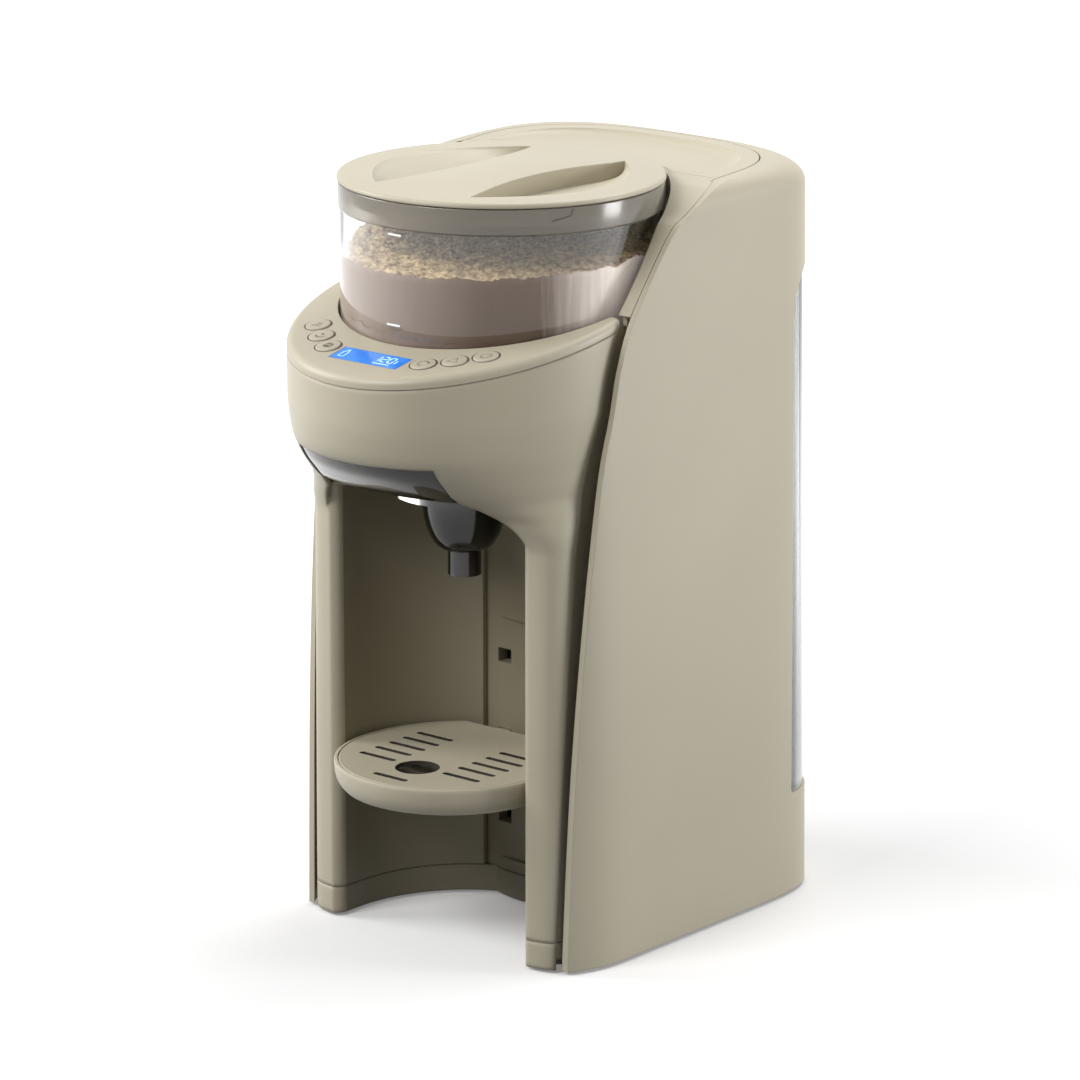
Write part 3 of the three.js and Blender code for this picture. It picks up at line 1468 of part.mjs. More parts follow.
function waterNozzle() {
  const top = baseDeck - seatGap;
  const low = top - nozzleDrop;
  const neck = top - nozzleFlangeThickness;
  const barb = baseDeck + baseDeckThickness + nozzleBarbLength;
  return turned([
    [nozzleRadius / 4, low], [nozzleRadius / 2, low], [nozzleRadius, low + nozzleDrop / 2],
    [nozzleRadius, neck], [nozzleFlange, neck], [nozzleFlange, top], [nozzleBarb, top],
    [nozzleBarb, barb], [nozzleRadius / 4, barb],
  ], nozzleX, nozzleY, smallSides);
}

function powerSupply() {
  const rear = frameFrontY - seatGap;
  const plate = block(supplyX - supplyWidth / 2, supplyX + supplyWidth / 2,
    rear - boardThickness, rear, supplyBottom, supplyBottom + supplyHeight);
  const unit = (x, z, width, height, share) => block(
    supplyX + x * supplyWidth - width * supplyWidth / 2, supplyX + x * supplyWidth + width * supplyWidth / 2,
    rear - boardThickness - supplyDepth * share, rear - boardThickness / 2,
    supplyBottom + z * supplyHeight, supplyBottom + (z + height) * supplyHeight);
  return plate.add(unit(-0.1, 0.36, 0.6, 0.34, 1)).add(unit(0.28, 0.74, 0.3, 0.2, 0.8))
    .add(unit(-0.24, 0.08, 0.34, 0.2, 0.7)).add(unit(0.26, 0.08, 0.2, 0.18, 0.6));
}

function mainBoard() {
  const rear = frameFrontY - seatGap;
  const plate = block(cardX - cardWidth / 2, cardX + cardWidth / 2,
    rear - boardThickness, rear, cardBottom, cardBottom + cardHeight);
  let body = plate;
  for (const [x, z, width, height] of [
    [-0.05, 0.4, 0.3, 0.22], [-0.3, 0.06, 0.3, 0.12], [0.25, 0.06, 0.34, 0.12], [0.3, 0.7, 0.2, 0.2]]) {
    body = body.add(block(
      cardX + (x - width / 2) * cardWidth, cardX + (x + width / 2) * cardWidth,
      rear - boardThickness - chipDepth, rear - boardThickness / 2,
      cardBottom + z * cardHeight, cardBottom + (z + height) * cardHeight));
  }
  return body;
}

function powerInlet() {
  const face = rearY - rearLean;
  const y0 = face - inletDepth;
  const body = inletBlock(0, y0, face)
    .subtract(inletBlock(-inletRim, face - inletRecess, face + overrun));
  const bracket = block(inletX - inletWidth / 4, inletX + inletWidth / 4, y0, y0 + inletDepth / 3,
    floorTop, inletHeight);
  let inlet = body.add(bracket);
  for (const side of [-1, 1]) {
    inlet = inlet.add(rodY(inletPin, inletX + side * inletWidth / 5, inletHeight,
      face - inletRecess - inletPin, face - inletRim));
  }
  return inlet;
}

const group = new THREE.Group();
group.name = 'formula_maker';

// Housing
part('front_shell', frontShell(), beige);
part('base_trim', baseTrim(), beige);
part('side_panel_left', sidePanel(-1), beige);
part('side_panel_right', sidePanel(1), beige);
part('hopper_collar', hopperCollar(), beige);
part('tower_lid', towerLid(), beige);
part('bay_back', bayBack(), beige);
part('bay_ceiling', bayCeiling(), darkBeige);
part('inner_frame', innerFrame(), darkBeige);
part('base_plate', basePlate(), darkBeige);

footPlaces.forEach(([x, y], i) => part(`foot_${i + 1}`, foot(x, y), rubber));
screwPlaces.forEach(([x, y], i) => part(`base_screw_${i + 1}`, baseScrew(x, y), steel));

// Controls, on the slope of the deck
part('control_deck', controlDeck(), beige);
const deckGroup = new THREE.Group();
deckGroup.position.set(0, 0, deckHeight);
deckGroup.rotation.x = deckAngle;
group.add(deckGroup);
buttonPlaces.forEach(([x, y], i) => {
  const item = part(`button_${i + 1}`, button(), beige, deckGroup);
  item.position.set(x, y / deckCos, 0);
});
const windowGlass = new THREE.BoxGeometry(displayWidth, displayDepth, displayThickness - seatGap);
windowGlass.translate(0, displayY / deckCos, -(displayThickness - seatGap) / 2);
part('display_window', solid(windowGlass), screen, deckGroup);
const moduleTop = -deckThickness * deckCos - seatGap;
const moduleHeight = boardDrop - seatGap + moduleTop;
const moduleBox = new THREE.BoxGeometry(displayWidth, displayDepth, moduleHeight);
moduleBox.translate(0, displayY / deckCos, moduleTop - moduleHeight / 2);
part('display_module', solid(moduleBox), darkPlastic, deckGroup);
part('button_board', buttonBoard(), board, deckGroup);

// Hopper
part('hopper_container', hopperContainer(), clear);
part('hopper_lid', hopperLid(), beige);
part('lid_seal', lidSeal(), silicone);
part('scraper', scraper(), white);
part('dosing_disc', dosingDisc(), white);
part('agitator', agitator(), white);

// Dosing drive
part('dispenser_base', dispenserBase(), darkBeige);
part('hopper_seat', hopperSeat(), darkBeige);
part('drive_shaft', driveShaft(), steel);
part('drive_gear', gear(gearTeeth, 0, hopperY, gearLow, gearHigh, shaftRadius + seatGap, Math.PI / 2), white);
part('idler_gear', gear(idlerTeeth, 0, idlerY, gearLow, gearHigh, motorShaftRadius + seatGap,
  -Math.PI / 2 + Math.PI / idlerTeeth), white);
part('idler_axle', post(motorShaftRadius, 0, idlerY, baseDeck + baseDeckThickness + seatGap,
  gearHigh + seatGap), steel);
part('motor_pinion', motorPinion(), steel);
part('dosing_motor', dosingMotor(), steel);

// Funnel and drip tray
part('funnel', funnel(), smoke);
part('funnel_cover', funnelCover(), smoke);
part('drip_tray', dripTray(), beige);
part('drip_grille', dripGrille(), beige);

// Water
part('water_tank', waterTank(), clear);
part('tank_valve', tankValve(), darkPlastic);
part('valve_dock', valveDock(), darkPlastic);
part('water_pump', waterPump(), darkPlastic);
part('water_heater', waterHeater(), steel);
part('water_nozzle', waterNozzle(), white);
part('hose_1', tankHose(), silicone);
part('hose_2', pumpHose(), silicone);
part('hose_3', heaterHose(), silicone);

// Electrics
part('power_supply', powerSupply(), board);
part('main_board', mainBoard(), board);
part('power_inlet', powerInlet(), darkPlastic);

export default group;
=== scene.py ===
import json
from functools import partial
from math import asin, atan, copysign, cos, hypot, pi, radians, sin, sqrt, tan

import bmesh
import bpy
import numpy as np
from mathutils import Matrix, Vector, noise as lumps


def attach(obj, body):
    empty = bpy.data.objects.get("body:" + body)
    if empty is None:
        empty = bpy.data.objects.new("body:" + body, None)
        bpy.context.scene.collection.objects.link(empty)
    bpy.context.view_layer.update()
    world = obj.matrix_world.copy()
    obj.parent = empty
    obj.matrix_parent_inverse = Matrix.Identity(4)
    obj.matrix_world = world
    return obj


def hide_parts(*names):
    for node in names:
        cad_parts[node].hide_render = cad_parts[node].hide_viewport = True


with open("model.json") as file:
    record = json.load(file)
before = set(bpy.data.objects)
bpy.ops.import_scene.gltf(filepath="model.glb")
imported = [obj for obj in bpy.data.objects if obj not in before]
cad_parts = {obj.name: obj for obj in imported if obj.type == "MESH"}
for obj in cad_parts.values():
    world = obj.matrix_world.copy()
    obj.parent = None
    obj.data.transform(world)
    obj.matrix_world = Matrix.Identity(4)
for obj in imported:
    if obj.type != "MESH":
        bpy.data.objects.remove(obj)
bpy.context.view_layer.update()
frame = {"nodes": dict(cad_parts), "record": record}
nodes = frame["nodes"]
MM = 0.001
SLOTS = {row["node"]: row["material_slot"] for row in frame["record"]["subparts"]}
BODY_OF = {node: body for body, names in frame["record"]["behaviour"]["bodies"].items() for node in names}

# Camera, fitted to the outline in the photo
PHOTO_PIXELS = 1080
VIEW_AZIMUTH, VIEW_ELEVATION = 39.70, 14.99
CAMERA_DISTANCE = 2.4759
FOCAL_PIXELS = 5475
SENSOR_WIDTH = 36
CLIP_NEAR, CLIP_FAR = 0.1, 50
LOOK_AT = Vector((0, 0.011, 0.170))
LOOK_RIGHT, LOOK_UP = -0.001016, 0.000708

# Colours as they look, in shares of full red, green and blue
GREIGE = (0.735, 0.704, 0.620)
DARK_GREIGE = (0.50, 0.47, 0.41)
RUBBER = (0.13, 0.13, 0.13)
STEEL = (0.72, 0.73, 0.74)
DARK = (0.16, 0.16, 0.17)
BOARD = (0.10, 0.36, 0.20)
CLEAR = (0.95, 0.95, 0.94)
TANK = (0.76, 0.77, 0.77)
# Near-black for the grille's faces below its top, the walls of its slots and hole: painted shade
SLOT_PAINTED_SHADE = (0.20, 0.185, 0.16)
BAND = (0.63, 0.60, 0.55)
# Darker greige for the faces inside the bottle bay: painted shade
BAY_PAINTED_SHADE = (0.56, 0.53, 0.45)
SMOKE = (0.30, 0.29, 0.28)
SILICONE = (0.82, 0.83, 0.83)
WHITE = (0.88, 0.87, 0.85)
POWDER = (0.77, 0.68, 0.53)
POWDER_SHADE = (0.36, 0.25, 0.12)
# Pressed powder: its own tone darkened as painted shade in the middle, and painted light for its left and
# right sides
PRESSED_WITH_PAINTED_SHADE = (0.34, 0.27, 0.22)
PAINTED_LIGHT_LEFT = (0.55, 0.50, 0.47)
PAINTED_LIGHT_RIGHT = (0.88, 0.84, 0.82)
SCREEN = (0.10, 0.47, 0.86)
SCREEN_INK = (0.72, 0.90, 1.0)
PRINT = (0.96, 0.96, 0.95)
INK = (0.20, 0.19, 0.17)
# Dark tone for the rings of painted shade around the keys, and for the lock mark
RING_SHADE_AND_MARK = (0.30, 0.28, 0.25)

# Painted light on the pressed powder, lighter towards both sides with painted shade in the middle: its
# direction across, span in metres, streaks and dark middle
PAINTED_LIGHT_ACROSS = (0.77, 0.64, 0)
PAINTED_LIGHT_SPAN = (-0.072, 0.046)
PAINTED_LIGHT_STREAK, STREAK_SCALE, STREAK_STRETCH = 0.014, 420, 0.06
PAINTED_SHADE_MIDDLE = (0.5, 0.72)

# Surface values: noise scales, drift of tone and gloss, refraction, bump depths in metres
SOFT_START, SOFT_END = 0.35, 0.65
PATCH, PATCH_SCALE = 0.018, 14
GLOSS_SCALE, GLOSS_SPREAD, BRUSH_SCALE, BRUSH_SPREAD, BRUSH_DRIFT = 60, 0.04, 400, 0.06, 0.08
GRAIN_DEPTH, WAVE_SCALE, WAVE_DEPTH = 0.0002, 45, 0.0005
CLEAR_SCALE, CLEAR_DRIFT, INDEX = 30, 0.01, 1.49
BAND_CLEARNESS, BAND_DRIFT, BAND_GLOSS = 0.45, 0.04, 0.16
SCREEN_GLOW, SCREEN_DRIFT, SCREEN_SCALE, INK_SCALE, INK_DRIFT = 0.3, 0.15, 40, 900, 0.06
CRUMB_SCALE, CRUMB_STOPS, DUST_SCALE = 330, (0.36, 0.62), 900
PRESSED_SCALE, PRESSED_DEPTH, DUST_DEPTH = 1400, 0.0003, 0.0008


def linear(colour):
    return tuple(c / 12.92 if c <= 0.04045 else ((c + 0.055) / 1.055) ** 2.4 for c in colour)


def scaled(colour, share):
    return tuple(c * share for c in colour)


def new_material(name):
    made = bpy.data.materials.new(name)
    made.use_nodes = True
    return made, made.node_tree, made.node_tree.nodes["Principled BSDF"]


def feed(node, values):
    """Sets inputs by name or number; a value that is a socket is linked instead."""
    for key, value in values.items():
        if isinstance(value, bpy.types.NodeSocket):
            node.id_data.links.new(value, node.inputs[key])
        else:
            node.inputs[key].default_value = value
    return node


def add_node(tree, kind, values=None, **settings):
    node = tree.nodes.new("ShaderNode" + kind)
    for key, value in settings.items():
        setattr(node, key, value)
    return feed(node, values or {})


def object_place(tree):
    return add_node(tree, "TexCoord").outputs["Object"]


def noise(tree, scale, detail=3.0, roughness=0.5):
    values = {"Vector": object_place(tree), "Scale": scale, "Detail": detail, "Roughness": roughness}
    return add_node(tree, "TexNoise", values).outputs["Fac"]


def ramp(tree, source, stops):
    """Colour ramp from its stops, each a position and a colour."""
    made = add_node(tree, "ValToRGB", {"Fac": source})
    for stop, (position, colour) in zip(made.color_ramp.elements, (stops[0], stops[-1])):
        stop.position, stop.color = position, (*colour, 1)
    for position, colour in stops[1:-1]:
        made.color_ramp.elements.new(position).color = (*colour, 1)
    return made.outputs["Color"]


def drift(tree, source, colour, below, above=0.0):
    """Soft change of tone, from a share below the colour to a share above it."""
    low, high = (scaled(linear(colour), share) for share in (1 - below, 1 + above))
    return ramp(tree, source, ((SOFT_START, low), (SOFT_END, high)))


def remap(tree, source, low, high, start=0.0, end=1.0, **settings):
    """Carries a value from one range to another."""
    values = {"Value": source, "From Min": start, "From Max": end, "To Min": low, "To Max": high}
    return add_node(tree, "MapRange", values, **settings).outputs["Result"]


def calculate(tree, operation, *values, kind="Math", **settings):
    return add_node(tree, kind, dict(enumerate(values)), operation=operation, **settings).outputs["Value"]


def bump(tree, source, strength, distance, edge=0):
    """Bump; an edge radius in millimetres also eases the light over sharp moulded edges."""
    values = {"Height": source, "Strength": strength, "Distance": distance}
    if edge:
        values["Normal"] = add_node(tree, "Bevel", {"Radius": edge * MM}, samples=4).outputs["Normal"]
    return add_node(tree, "Bump", values).outputs["Normal"]


def plastic(name, colour, roughness, texture=0.05, grain=1600, edge=0.5):
    """Moulded plastic: slight drift of tone, uneven gloss and a fine spark texture."""
    made, tree, shader = new_material(name)
    matt, shiny = roughness + GLOSS_SPREAD, roughness - GLOSS_SPREAD
    feed(shader, {
        "Base Color": drift(tree, noise(tree, PATCH_SCALE, 2), colour, PATCH, PATCH),
        "Roughness": remap(tree, noise(tree, GLOSS_SCALE), shiny, matt),
        "Normal": bump(tree, noise(tree, grain, 2), texture, GRAIN_DEPTH, edge)})
    return made


def glassy(name, colour, roughness, waves=0.03):
    """Clear or smoke plastic with faint moulding waves; lamp light reaches what is behind it."""
    made, tree, shader = new_material(name)
    feed(shader, {
        "Base Color": drift(tree, noise(tree, CLEAR_SCALE, 1), colour, CLEAR_DRIFT),
        "Transmission Weight": 1.0, "IOR": INDEX, "Roughness": roughness,
        "Normal": bump(tree, noise(tree, WAVE_SCALE, 1), waves, WAVE_DEPTH)})
    clear = add_node(tree, "BsdfTransparent", {"Color": (*linear(colour), 1)})
    mix = add_node(tree, "MixShader", {
        "Fac": add_node(tree, "LightPath").outputs["Is Shadow Ray"],
        1: shader.outputs[0], 2: clear.outputs[0]})
    feed(tree.nodes["Material Output"], {"Surface": mix.outputs[0]})
    return made


def metal(name, colour, roughness):
    made, tree, shader = new_material(name)
    lines = noise(tree, BRUSH_SCALE, 4)
    feed(shader, {
        "Metallic": 1.0, "Base Color": drift(tree, lines, colour, BRUSH_DRIFT),
        "Roughness": remap(tree, lines, roughness - BRUSH_SPREAD, roughness + BRUSH_SPREAD)})
    return made


def powder_material():
    """Loose crumbs on top."""
    made, tree, shader = new_material("powder_look")
    tones = zip(CRUMB_STOPS, (linear(POWDER_SHADE), linear(POWDER)))
    feed(shader, {
        "Base Color": ramp(tree, noise(tree, CRUMB_SCALE, 5, 0.62), tuple(tones)), "Roughness": 0.95,
        "Specular IOR Level": 0.15, "Normal": bump(tree, noise(tree, DUST_SCALE, 6, 0.7), 0.8, DUST_DEPTH)})
    return made


def pressed_powder_material():
    """Powder pressed smooth against the wall, with painted light that streaks towards both sides and painted
    shade in the middle.
    """
    made, tree, shader = new_material("pressed_powder_look")
    place = object_place(tree)
    across = calculate(tree, "DOT_PRODUCT", place, PAINTED_LIGHT_ACROSS, kind="VectorMath")
    upright = add_node(tree, "Mapping", {"Vector": place, "Scale": (1, 1, STREAK_STRETCH)})
    streaks = add_node(tree, "TexNoise", {
        "Vector": upright.outputs["Vector"], "Scale": STREAK_SCALE, "Detail": 4})
    spread = calculate(tree, "MULTIPLY_ADD", streaks.outputs["Fac"], PAINTED_LIGHT_STREAK, across)
    # Painted light towards the left and right sides, painted shade in the middle
    tones = [(0, PAINTED_LIGHT_LEFT), *[(position, PRESSED_WITH_PAINTED_SHADE) for position in PAINTED_SHADE_MIDDLE], (1, PAINTED_LIGHT_RIGHT)]
    painted_light_place = remap(tree, spread, 0, 1, *PAINTED_LIGHT_SPAN)
    feed(shader, {
        "Base Color": ramp(tree, painted_light_place, [(at, linear(tone)) for at, tone in tones]), "Roughness": 0.9,
        "Specular IOR Level": 0.2, "Normal": bump(tree, noise(tree, PRESSED_SCALE, 3), 0.15, PRESSED_DEPTH)})
    return made


def screen_material():
    """Lit display: blue glow under a gloss window, brighter in soft bands."""
    made, tree, shader = new_material("screen_look")
    tone = drift(tree, noise(tree, SCREEN_SCALE, 1), SCREEN, SCREEN_DRIFT, SCREEN_DRIFT)
    feed(shader, {"Base Color": tone, "Emission Color": tone, "Emission Strength": SCREEN_GLOW,
                  "Specular IOR Level": 0.25, "Roughness": 0.12})
    return made


def mark_material(name, colour, glow=0.0, roughness=0.5):
    """Thin printed or lit mark, a little uneven in its ink."""
    made, tree, shader = new_material(name)
    tone = drift(tree, noise(tree, INK_SCALE, 2), colour, INK_DRIFT)
    feed(shader, {"Base Color": tone, "Roughness": roughness})
    if glow:
        feed(shader, {"Emission Color": tone, "Emission Strength": glow})
    return made


def band_material():
    """Frosted clear plastic of the locking band."""
    made, tree, shader = new_material("band_look")
    feed(shader, {
        "Base Color": drift(tree, noise(tree, CLEAR_SCALE, 1), BAND, BAND_DRIFT),
        "Transmission Weight": BAND_CLEARNESS, "IOR": INDEX, "Roughness": BAND_GLOSS})
    return made


LOOKS = {
    "beige_plastic": plastic("greige_look", GREIGE, 0.42),
    "dark_beige_plastic": plastic("dark_greige_look", DARK_GREIGE, 0.55),
    "rubber": plastic("rubber_look", RUBBER, 0.85, 0.2, 900),
    "steel": metal("steel_look", STEEL, 0.32),
    "dark_plastic": plastic("dark_look", DARK, 0.5),
    "board": plastic("board_look", BOARD, 0.45, 0.1, 600),
    "clear_plastic": glassy("clear_look", CLEAR, 0.02),
    "smoke_plastic": glassy("smoke_look", SMOKE, 0.03),
    "silicone": plastic("silicone_look", SILICONE, 0.5, 0.05, 700),
    "white_plastic": plastic("white_look", WHITE, 0.5),
    "display": screen_material(),
}
SHELL_LOOK = plastic("shell_look", GREIGE, 0.42, edge=3)
TANK_LOOK = glassy("tank_look", TANK, 0.05, waves=0.008)
SLOT_PAINTED_SHADE_LOOK = plastic("slot_painted_shade_look", SLOT_PAINTED_SHADE, 0.6, edge=0.1)
BAY_PAINTED_SHADE_LOOK = plastic("bay_painted_shade_look", BAY_PAINTED_SHADE, 0.5, edge=1)
WELD_REACH, SHARP_DEGREES = 0.02 * MM, 30


def smooth_shaded(item):
    """Joins split corners and keeps only the sharp edges."""
    for face in item.data.polygons:
        face.use_smooth = True
    item.modifiers.new("weld", "WELD").merge_threshold = WELD_REACH
    split = item.modifiers.new("sharp", "EDGE_SPLIT")
    split.split_angle = radians(SHARP_DEGREES)
    split.use_edge_sharp = False


for node_name, node_item in nodes.items():
    node_item.data.materials.clear()
    node_item.data.materials.append(LOOKS[SLOTS[node_name]])
    smooth_shaded(node_item)


def add_object(name, data):
    item = bpy.data.objects.new(name, data)
    bpy.context.scene.collection.objects.link(item)
    return item


def new_piece(name, points, faces, look, body, smooth=True):
    mesh = bpy.data.meshes.new(name)
    mesh.from_pydata([tuple(p) for p in points], [], faces)
    mesh.update()
    item = add_object(name, mesh)
    mesh.materials.append(look)
    for face in mesh.polygons:
        face.use_smooth = smooth
    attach(item, body)
    return item


# Sizes of the forms in millimetres; those that the part's source has too are the same there
BODY_WIDTH, BODY_DEPTH, BODY_HEIGHT = 170, 251, 343.4
WALL, SEAT_GAP, SLIDE_GAP, OVERRUN = 2.5, 0.3, 0.5, 3
REAR_Y, NOSE_Y, HALF_WIDTH = BODY_DEPTH / 2, -BODY_DEPTH / 2, BODY_WIDTH / 2
FLANK_FRONT_Y, FLANK_REAR_Y, FRONT_RUN = -29.5, 50.5, 60
FRONT_POWER, REAR_POWER, RIM_POWER = 2.6, 4.3, 2.6
FLANK_LEAN, REAR_LEAN, TOP_ROLL = 2, 5, 12
PANEL_BOTTOM, MOUTH_INSET = 1.5, 10.6
PROFILE_SHARES = [
    (-0.508, -0.02), (-0.506, 0.04), (-0.481, 0.262), (-0.437, 0.4706), (-0.38, 0.6444),
    (-0.325, 0.729), (-0.288, 0.786), (-0.227, 0.84), (-0.122, 0.8917), (0.0056, 0.9458),
    (0.08, 0.9613), (0.166, 0.9761), (0.2725, 0.9889), (0.381, 0.9939), (0.6, 0.9971), (1.1, 0.999),
]
LEG_HALF, LEG_LEAN, HEAD_HALF = 74.3, 1.6, 77.3
SHELL_CENTRE_Y, LEG_DEPTH = -34.5, 35
SWEEP_START, SWEEP_END = 190, 252
FLANGE_STEP, FLANGE_RUN, GROOVE_WIDTH = 1.5, 12, 1
SWEEP_SHARES = [
    (0, 0, 8), (0.1, 0.045, 6.6), (0.18, 0.115, 5), (0.25, 0.2, 3.8), (0.35, 0.425, 2.6),
    (0.42, 0.6, 2.2), (0.5, 0.72, 2.1), (0.62, 0.87, 2), (0.78, 0.965, 2), (1, 1, 2),
]
BAY_HALF, BAY_DEPTH, BAY_CENTRE_Y = 54, 61.5, -54.5
BAY_BACK_Y, BAY_BACK_HALF, BAY_BULGE = 2.5, 25.5, 4
MOUTH_RADIUS, BAY_SEAM, BAY_TOP = 6, 13.8, 206
ARCH_SPRING, ARCH_CROWN = 187, 232.5
ARCH_SHARES = [
    (1, -0.1), (1, 0), (0.987, 0.1), (0.96, 0.18), (0.93, 0.27), (0.885, 0.355), (0.827, 0.425),
    (0.742, 0.547), (0.675, 0.61), (0.652, 0.69), (0.652, 0.8), (0.645, 1),
]
LEG_FRONT_Y = SHELL_CENTRE_Y - LEG_DEPTH
MOUTH_Y, MOUTH_HALF = LEG_FRONT_Y + MOUTH_RADIUS, BAY_HALF + MOUTH_RADIUS
DECK_HEIGHT, DECK_SLOPE, DECK_THICKNESS, DECK_BORE = 297, 0.2, 4.75, 72.5
DECK_REAR_Y, TIP_CLEARANCE, DECK_EDGE = -27.5, 4, 3.2
BUTTON_RADIUS, BUTTON_PROUD = 5.7, 0.5
BUTTON_PLACES = [
    (-48.3, -84.9), (-38.3, -94), (-27.3, -101.9), (27.3, -101.9), (38.3, -94), (48.3, -84.9),
]
BUTTON_FLANGE, BUTTON_FLANGE_THICKNESS, BUTTON_STEM, BUTTON_STEM_DROP = 6.5, 1.2, 2.4, 1.2
DISPLAY_WIDTH, DISPLAY_DEPTH, DISPLAY_Y = 38, 11.5, -105.1
DISPLAY_THICKNESS, DISPLAY_LEDGE = 1.2, 1.8
AXIS_Y, HOPPER_RADIUS, HOPPER_WALL = -17.2, 71.5, 2.2
HOPPER_FLOOR, HOPPER_BAND, HOPPER_BAND_RADIUS, HOPPER_TOP = 262, 330, 72.3, 341.8
OUTLET_OFFSET, OUTLET_RADIUS, SHAFT_RADIUS = 25.8, 7.8, 4
WELL_RADIUS, WELL_WALL, SEAT_THICKNESS = 74.5, 2.2, 2.4
LID_RADIUS, LID_TOP, LID_RIM, PLUG_DEPTH, PLUG_GAP = 72.7, 344.6, 2.4, 8.6, 1.4
GRIP_CROWN, GRIP_END_HALF, GRIP_WAIST_HALF, GRIP_END_Y = 2.1, 27, 19, 53
SCOOP_DEPTH, SCOOP_REACH = 8, 58
CROWN_SINK = 0.06
SCOOP_STEPS = [(0, 1), (0.25, 0.82), (0.6, 0.55), (1, 0.12)]
FUNNEL_Y, CARRIER_LOW, CARRIER_THICKNESS, CARRIER_REAR_Y = -43, 215.4, 2, -8
RUNNER_HALF, VISOR_INSET, VISOR_WALL = 38.8, 0.6, 2
FUNNEL_FLANGE, FLANGE_THICKNESS, FUNNEL_MOUTH = 27, 1.6, 23.5
NECK_DROP, FUNNEL_DROP, FUNNEL_WALL = 41, 52.5, 1.6
COLLAR_DROP, COLLAR_THICKNESS, COLLAR_RADIUS, BOWL_RADIUS, NECK_RADIUS = 16.5, 2.4, 31.7, 19, 7.6
TRAY_TOP, TRAY_RADIUS, TRAY_CENTRE_Y, TRAY_HEIGHT, TRAY_TAPER, TRAY_WALL = 84, 52, -53.5, 12.5, 3, 2
TRAY_REAR_RUN, TRAY_REAR_Y = 57, -7
GRILLE_INSET, GRILLE_THICKNESS, GRILLE_HOLE, GRILLE_HOLE_Y = 1.6, 2, 10, -75.8
SLOT_WIDTH, SLOT_INNER, SLOT_OUTER, SLOT_FRONT_HALF, SLOT_FRONT_Y = 3, 14, 35, 9.7, -94
SLOT_ROWS = [-74.5, -64, -54.5, -45, -35.5]
HOOK_HALF, HOOK_WIDTH, HOOK_HEIGHT, HOOK_REACH, HOOK_DROP = 14, 7, 6, 12, 3
WINDOW_FRONT, WINDOW_BOTTOM, WINDOW_TOP = 89.5, 48, 295
FACE_GAP, FACE_OUTER, FACE_INNER = 0.4, 1.0, 2.8
WINDOW_TOP_RADIUS, WINDOW_BOTTOM_RADIUS = 22, 3
SEAM_Y, COVER_THICKNESS, COVER_SKIRT = 44, 2.5, 4
DISH_DEPTH, DISH_INSET, DISH_FRONT_Y, NOTCH_RADIUS, NOTCH_X = 3.4, 8, 48, 1.6, 17
INLET_X, INLET_HEIGHT, INLET_WIDTH, INLET_TALL, INLET_DEPTH = -50, 24, 20, 18, 22
BASE_BOTTOM, BASE_THICKNESS = 3, 2.5
LIP, GRILLE_EDGE, BOWL_POWER, CROWN_POWER = 0.7, 0.4, 0.9, 2.4
FAR, POST_LOW, POST_HIGH, ARCH_LOW, COLLAR_LOW = 400, -50, 700, 100, 0.7 * BODY_HEIGHT

# Facet counts
CORNER_STEPS, NOSE_STEPS, CURVE_STEPS, ARC_STEPS = 36, 72, 96, 10
ROUND_SIDES, MEDIUM_SIDES, SWEEP_LEVELS, FUNNEL_SIDES = 160, 64, 44, 96
ARCH_STEPS, GRIP_STEPS, SCOOP_SIDES, SCOOP_LEVELS, BACK_STEPS = 40, 40, 48, 14, 19
BOWL_STEPS, DECK_STEPS, TRAY_STEPS, WING_STEPS = 24, 8, 72, 16


def quarter(start=0.0, steps=ARC_STEPS):
    """Angles over a quarter turn."""
    return [start + pi * i / (2 * steps) for i in range(steps + 1)]


def half_turn(start):
    return [start + pi * i / (2 * CORNER_STEPS) for i in range(2 * CORNER_STEPS + 1)]


def form(points, faces):
    """Closed mesh in millimetres with its faces outward."""
    mesh = bpy.data.meshes.new("form")
    mesh.from_pydata([tuple(p) for p in points], [], [tuple(f) for f in faces])
    work = bmesh.new()
    work.from_mesh(mesh)
    bmesh.ops.remove_doubles(work, verts=work.verts, dist=0.0001)
    bmesh.ops.recalc_face_normals(work, faces=work.faces)
    work.to_mesh(mesh)
    work.free()
    return mesh


def combine(kind, base, *others):
    """Union, difference or intersection of closed meshes."""
    for other in others:
        pair = [add_object("form", mesh) for mesh in (base, other)]
        step = pair[0].modifiers.new("step", "BOOLEAN")
        step.operation, step.solver, step.object = kind, "MANIFOLD", pair[1]
        bpy.context.view_layer.update()
        graph = bpy.context.evaluated_depsgraph_get()
        base = bpy.data.meshes.new_from_object(pair[0].evaluated_get(graph))
        for item in pair:
            bpy.data.objects.remove(item)
    return base


cut, meet, joined = (partial(combine, kind) for kind in ("DIFFERENCE", "INTERSECT", "UNION"))


def hoop(low, high, count):
    """Faces between two rings of points, from their first numbers."""
    return [(low + i, low + (i + 1) % count, high + (i + 1) % count, high + i) for i in range(count)]


def prism(outline, axis, low, high):
    """Outline drawn along one axis; its two numbers are the other two axes in order."""
    place = {"X": lambda u, v, w: (w, u, v), "Y": lambda u, v, w: (u, w, v),
             "Z": lambda u, v, w: (u, v, w)}[axis]
    count = len(outline)
    points = [place(u, v, w) for w in (low, high) for u, v in outline]
    return form(points, [*hoop(0, count, count), range(count), range(count, 2 * count)])


def full_width(outline):
    return prism(outline, "X", -BODY_WIDTH, BODY_WIDTH)


def block(x0, x1, y0, y1, z0, z1):
    return prism([(x0, y0), (x1, y0), (x1, y1), (x0, y1)], "Z", z0, z1)


def slab(y0, y1, z0, z1):
    return block(-BODY_WIDTH, BODY_WIDTH, y0, y1, z0, z1)


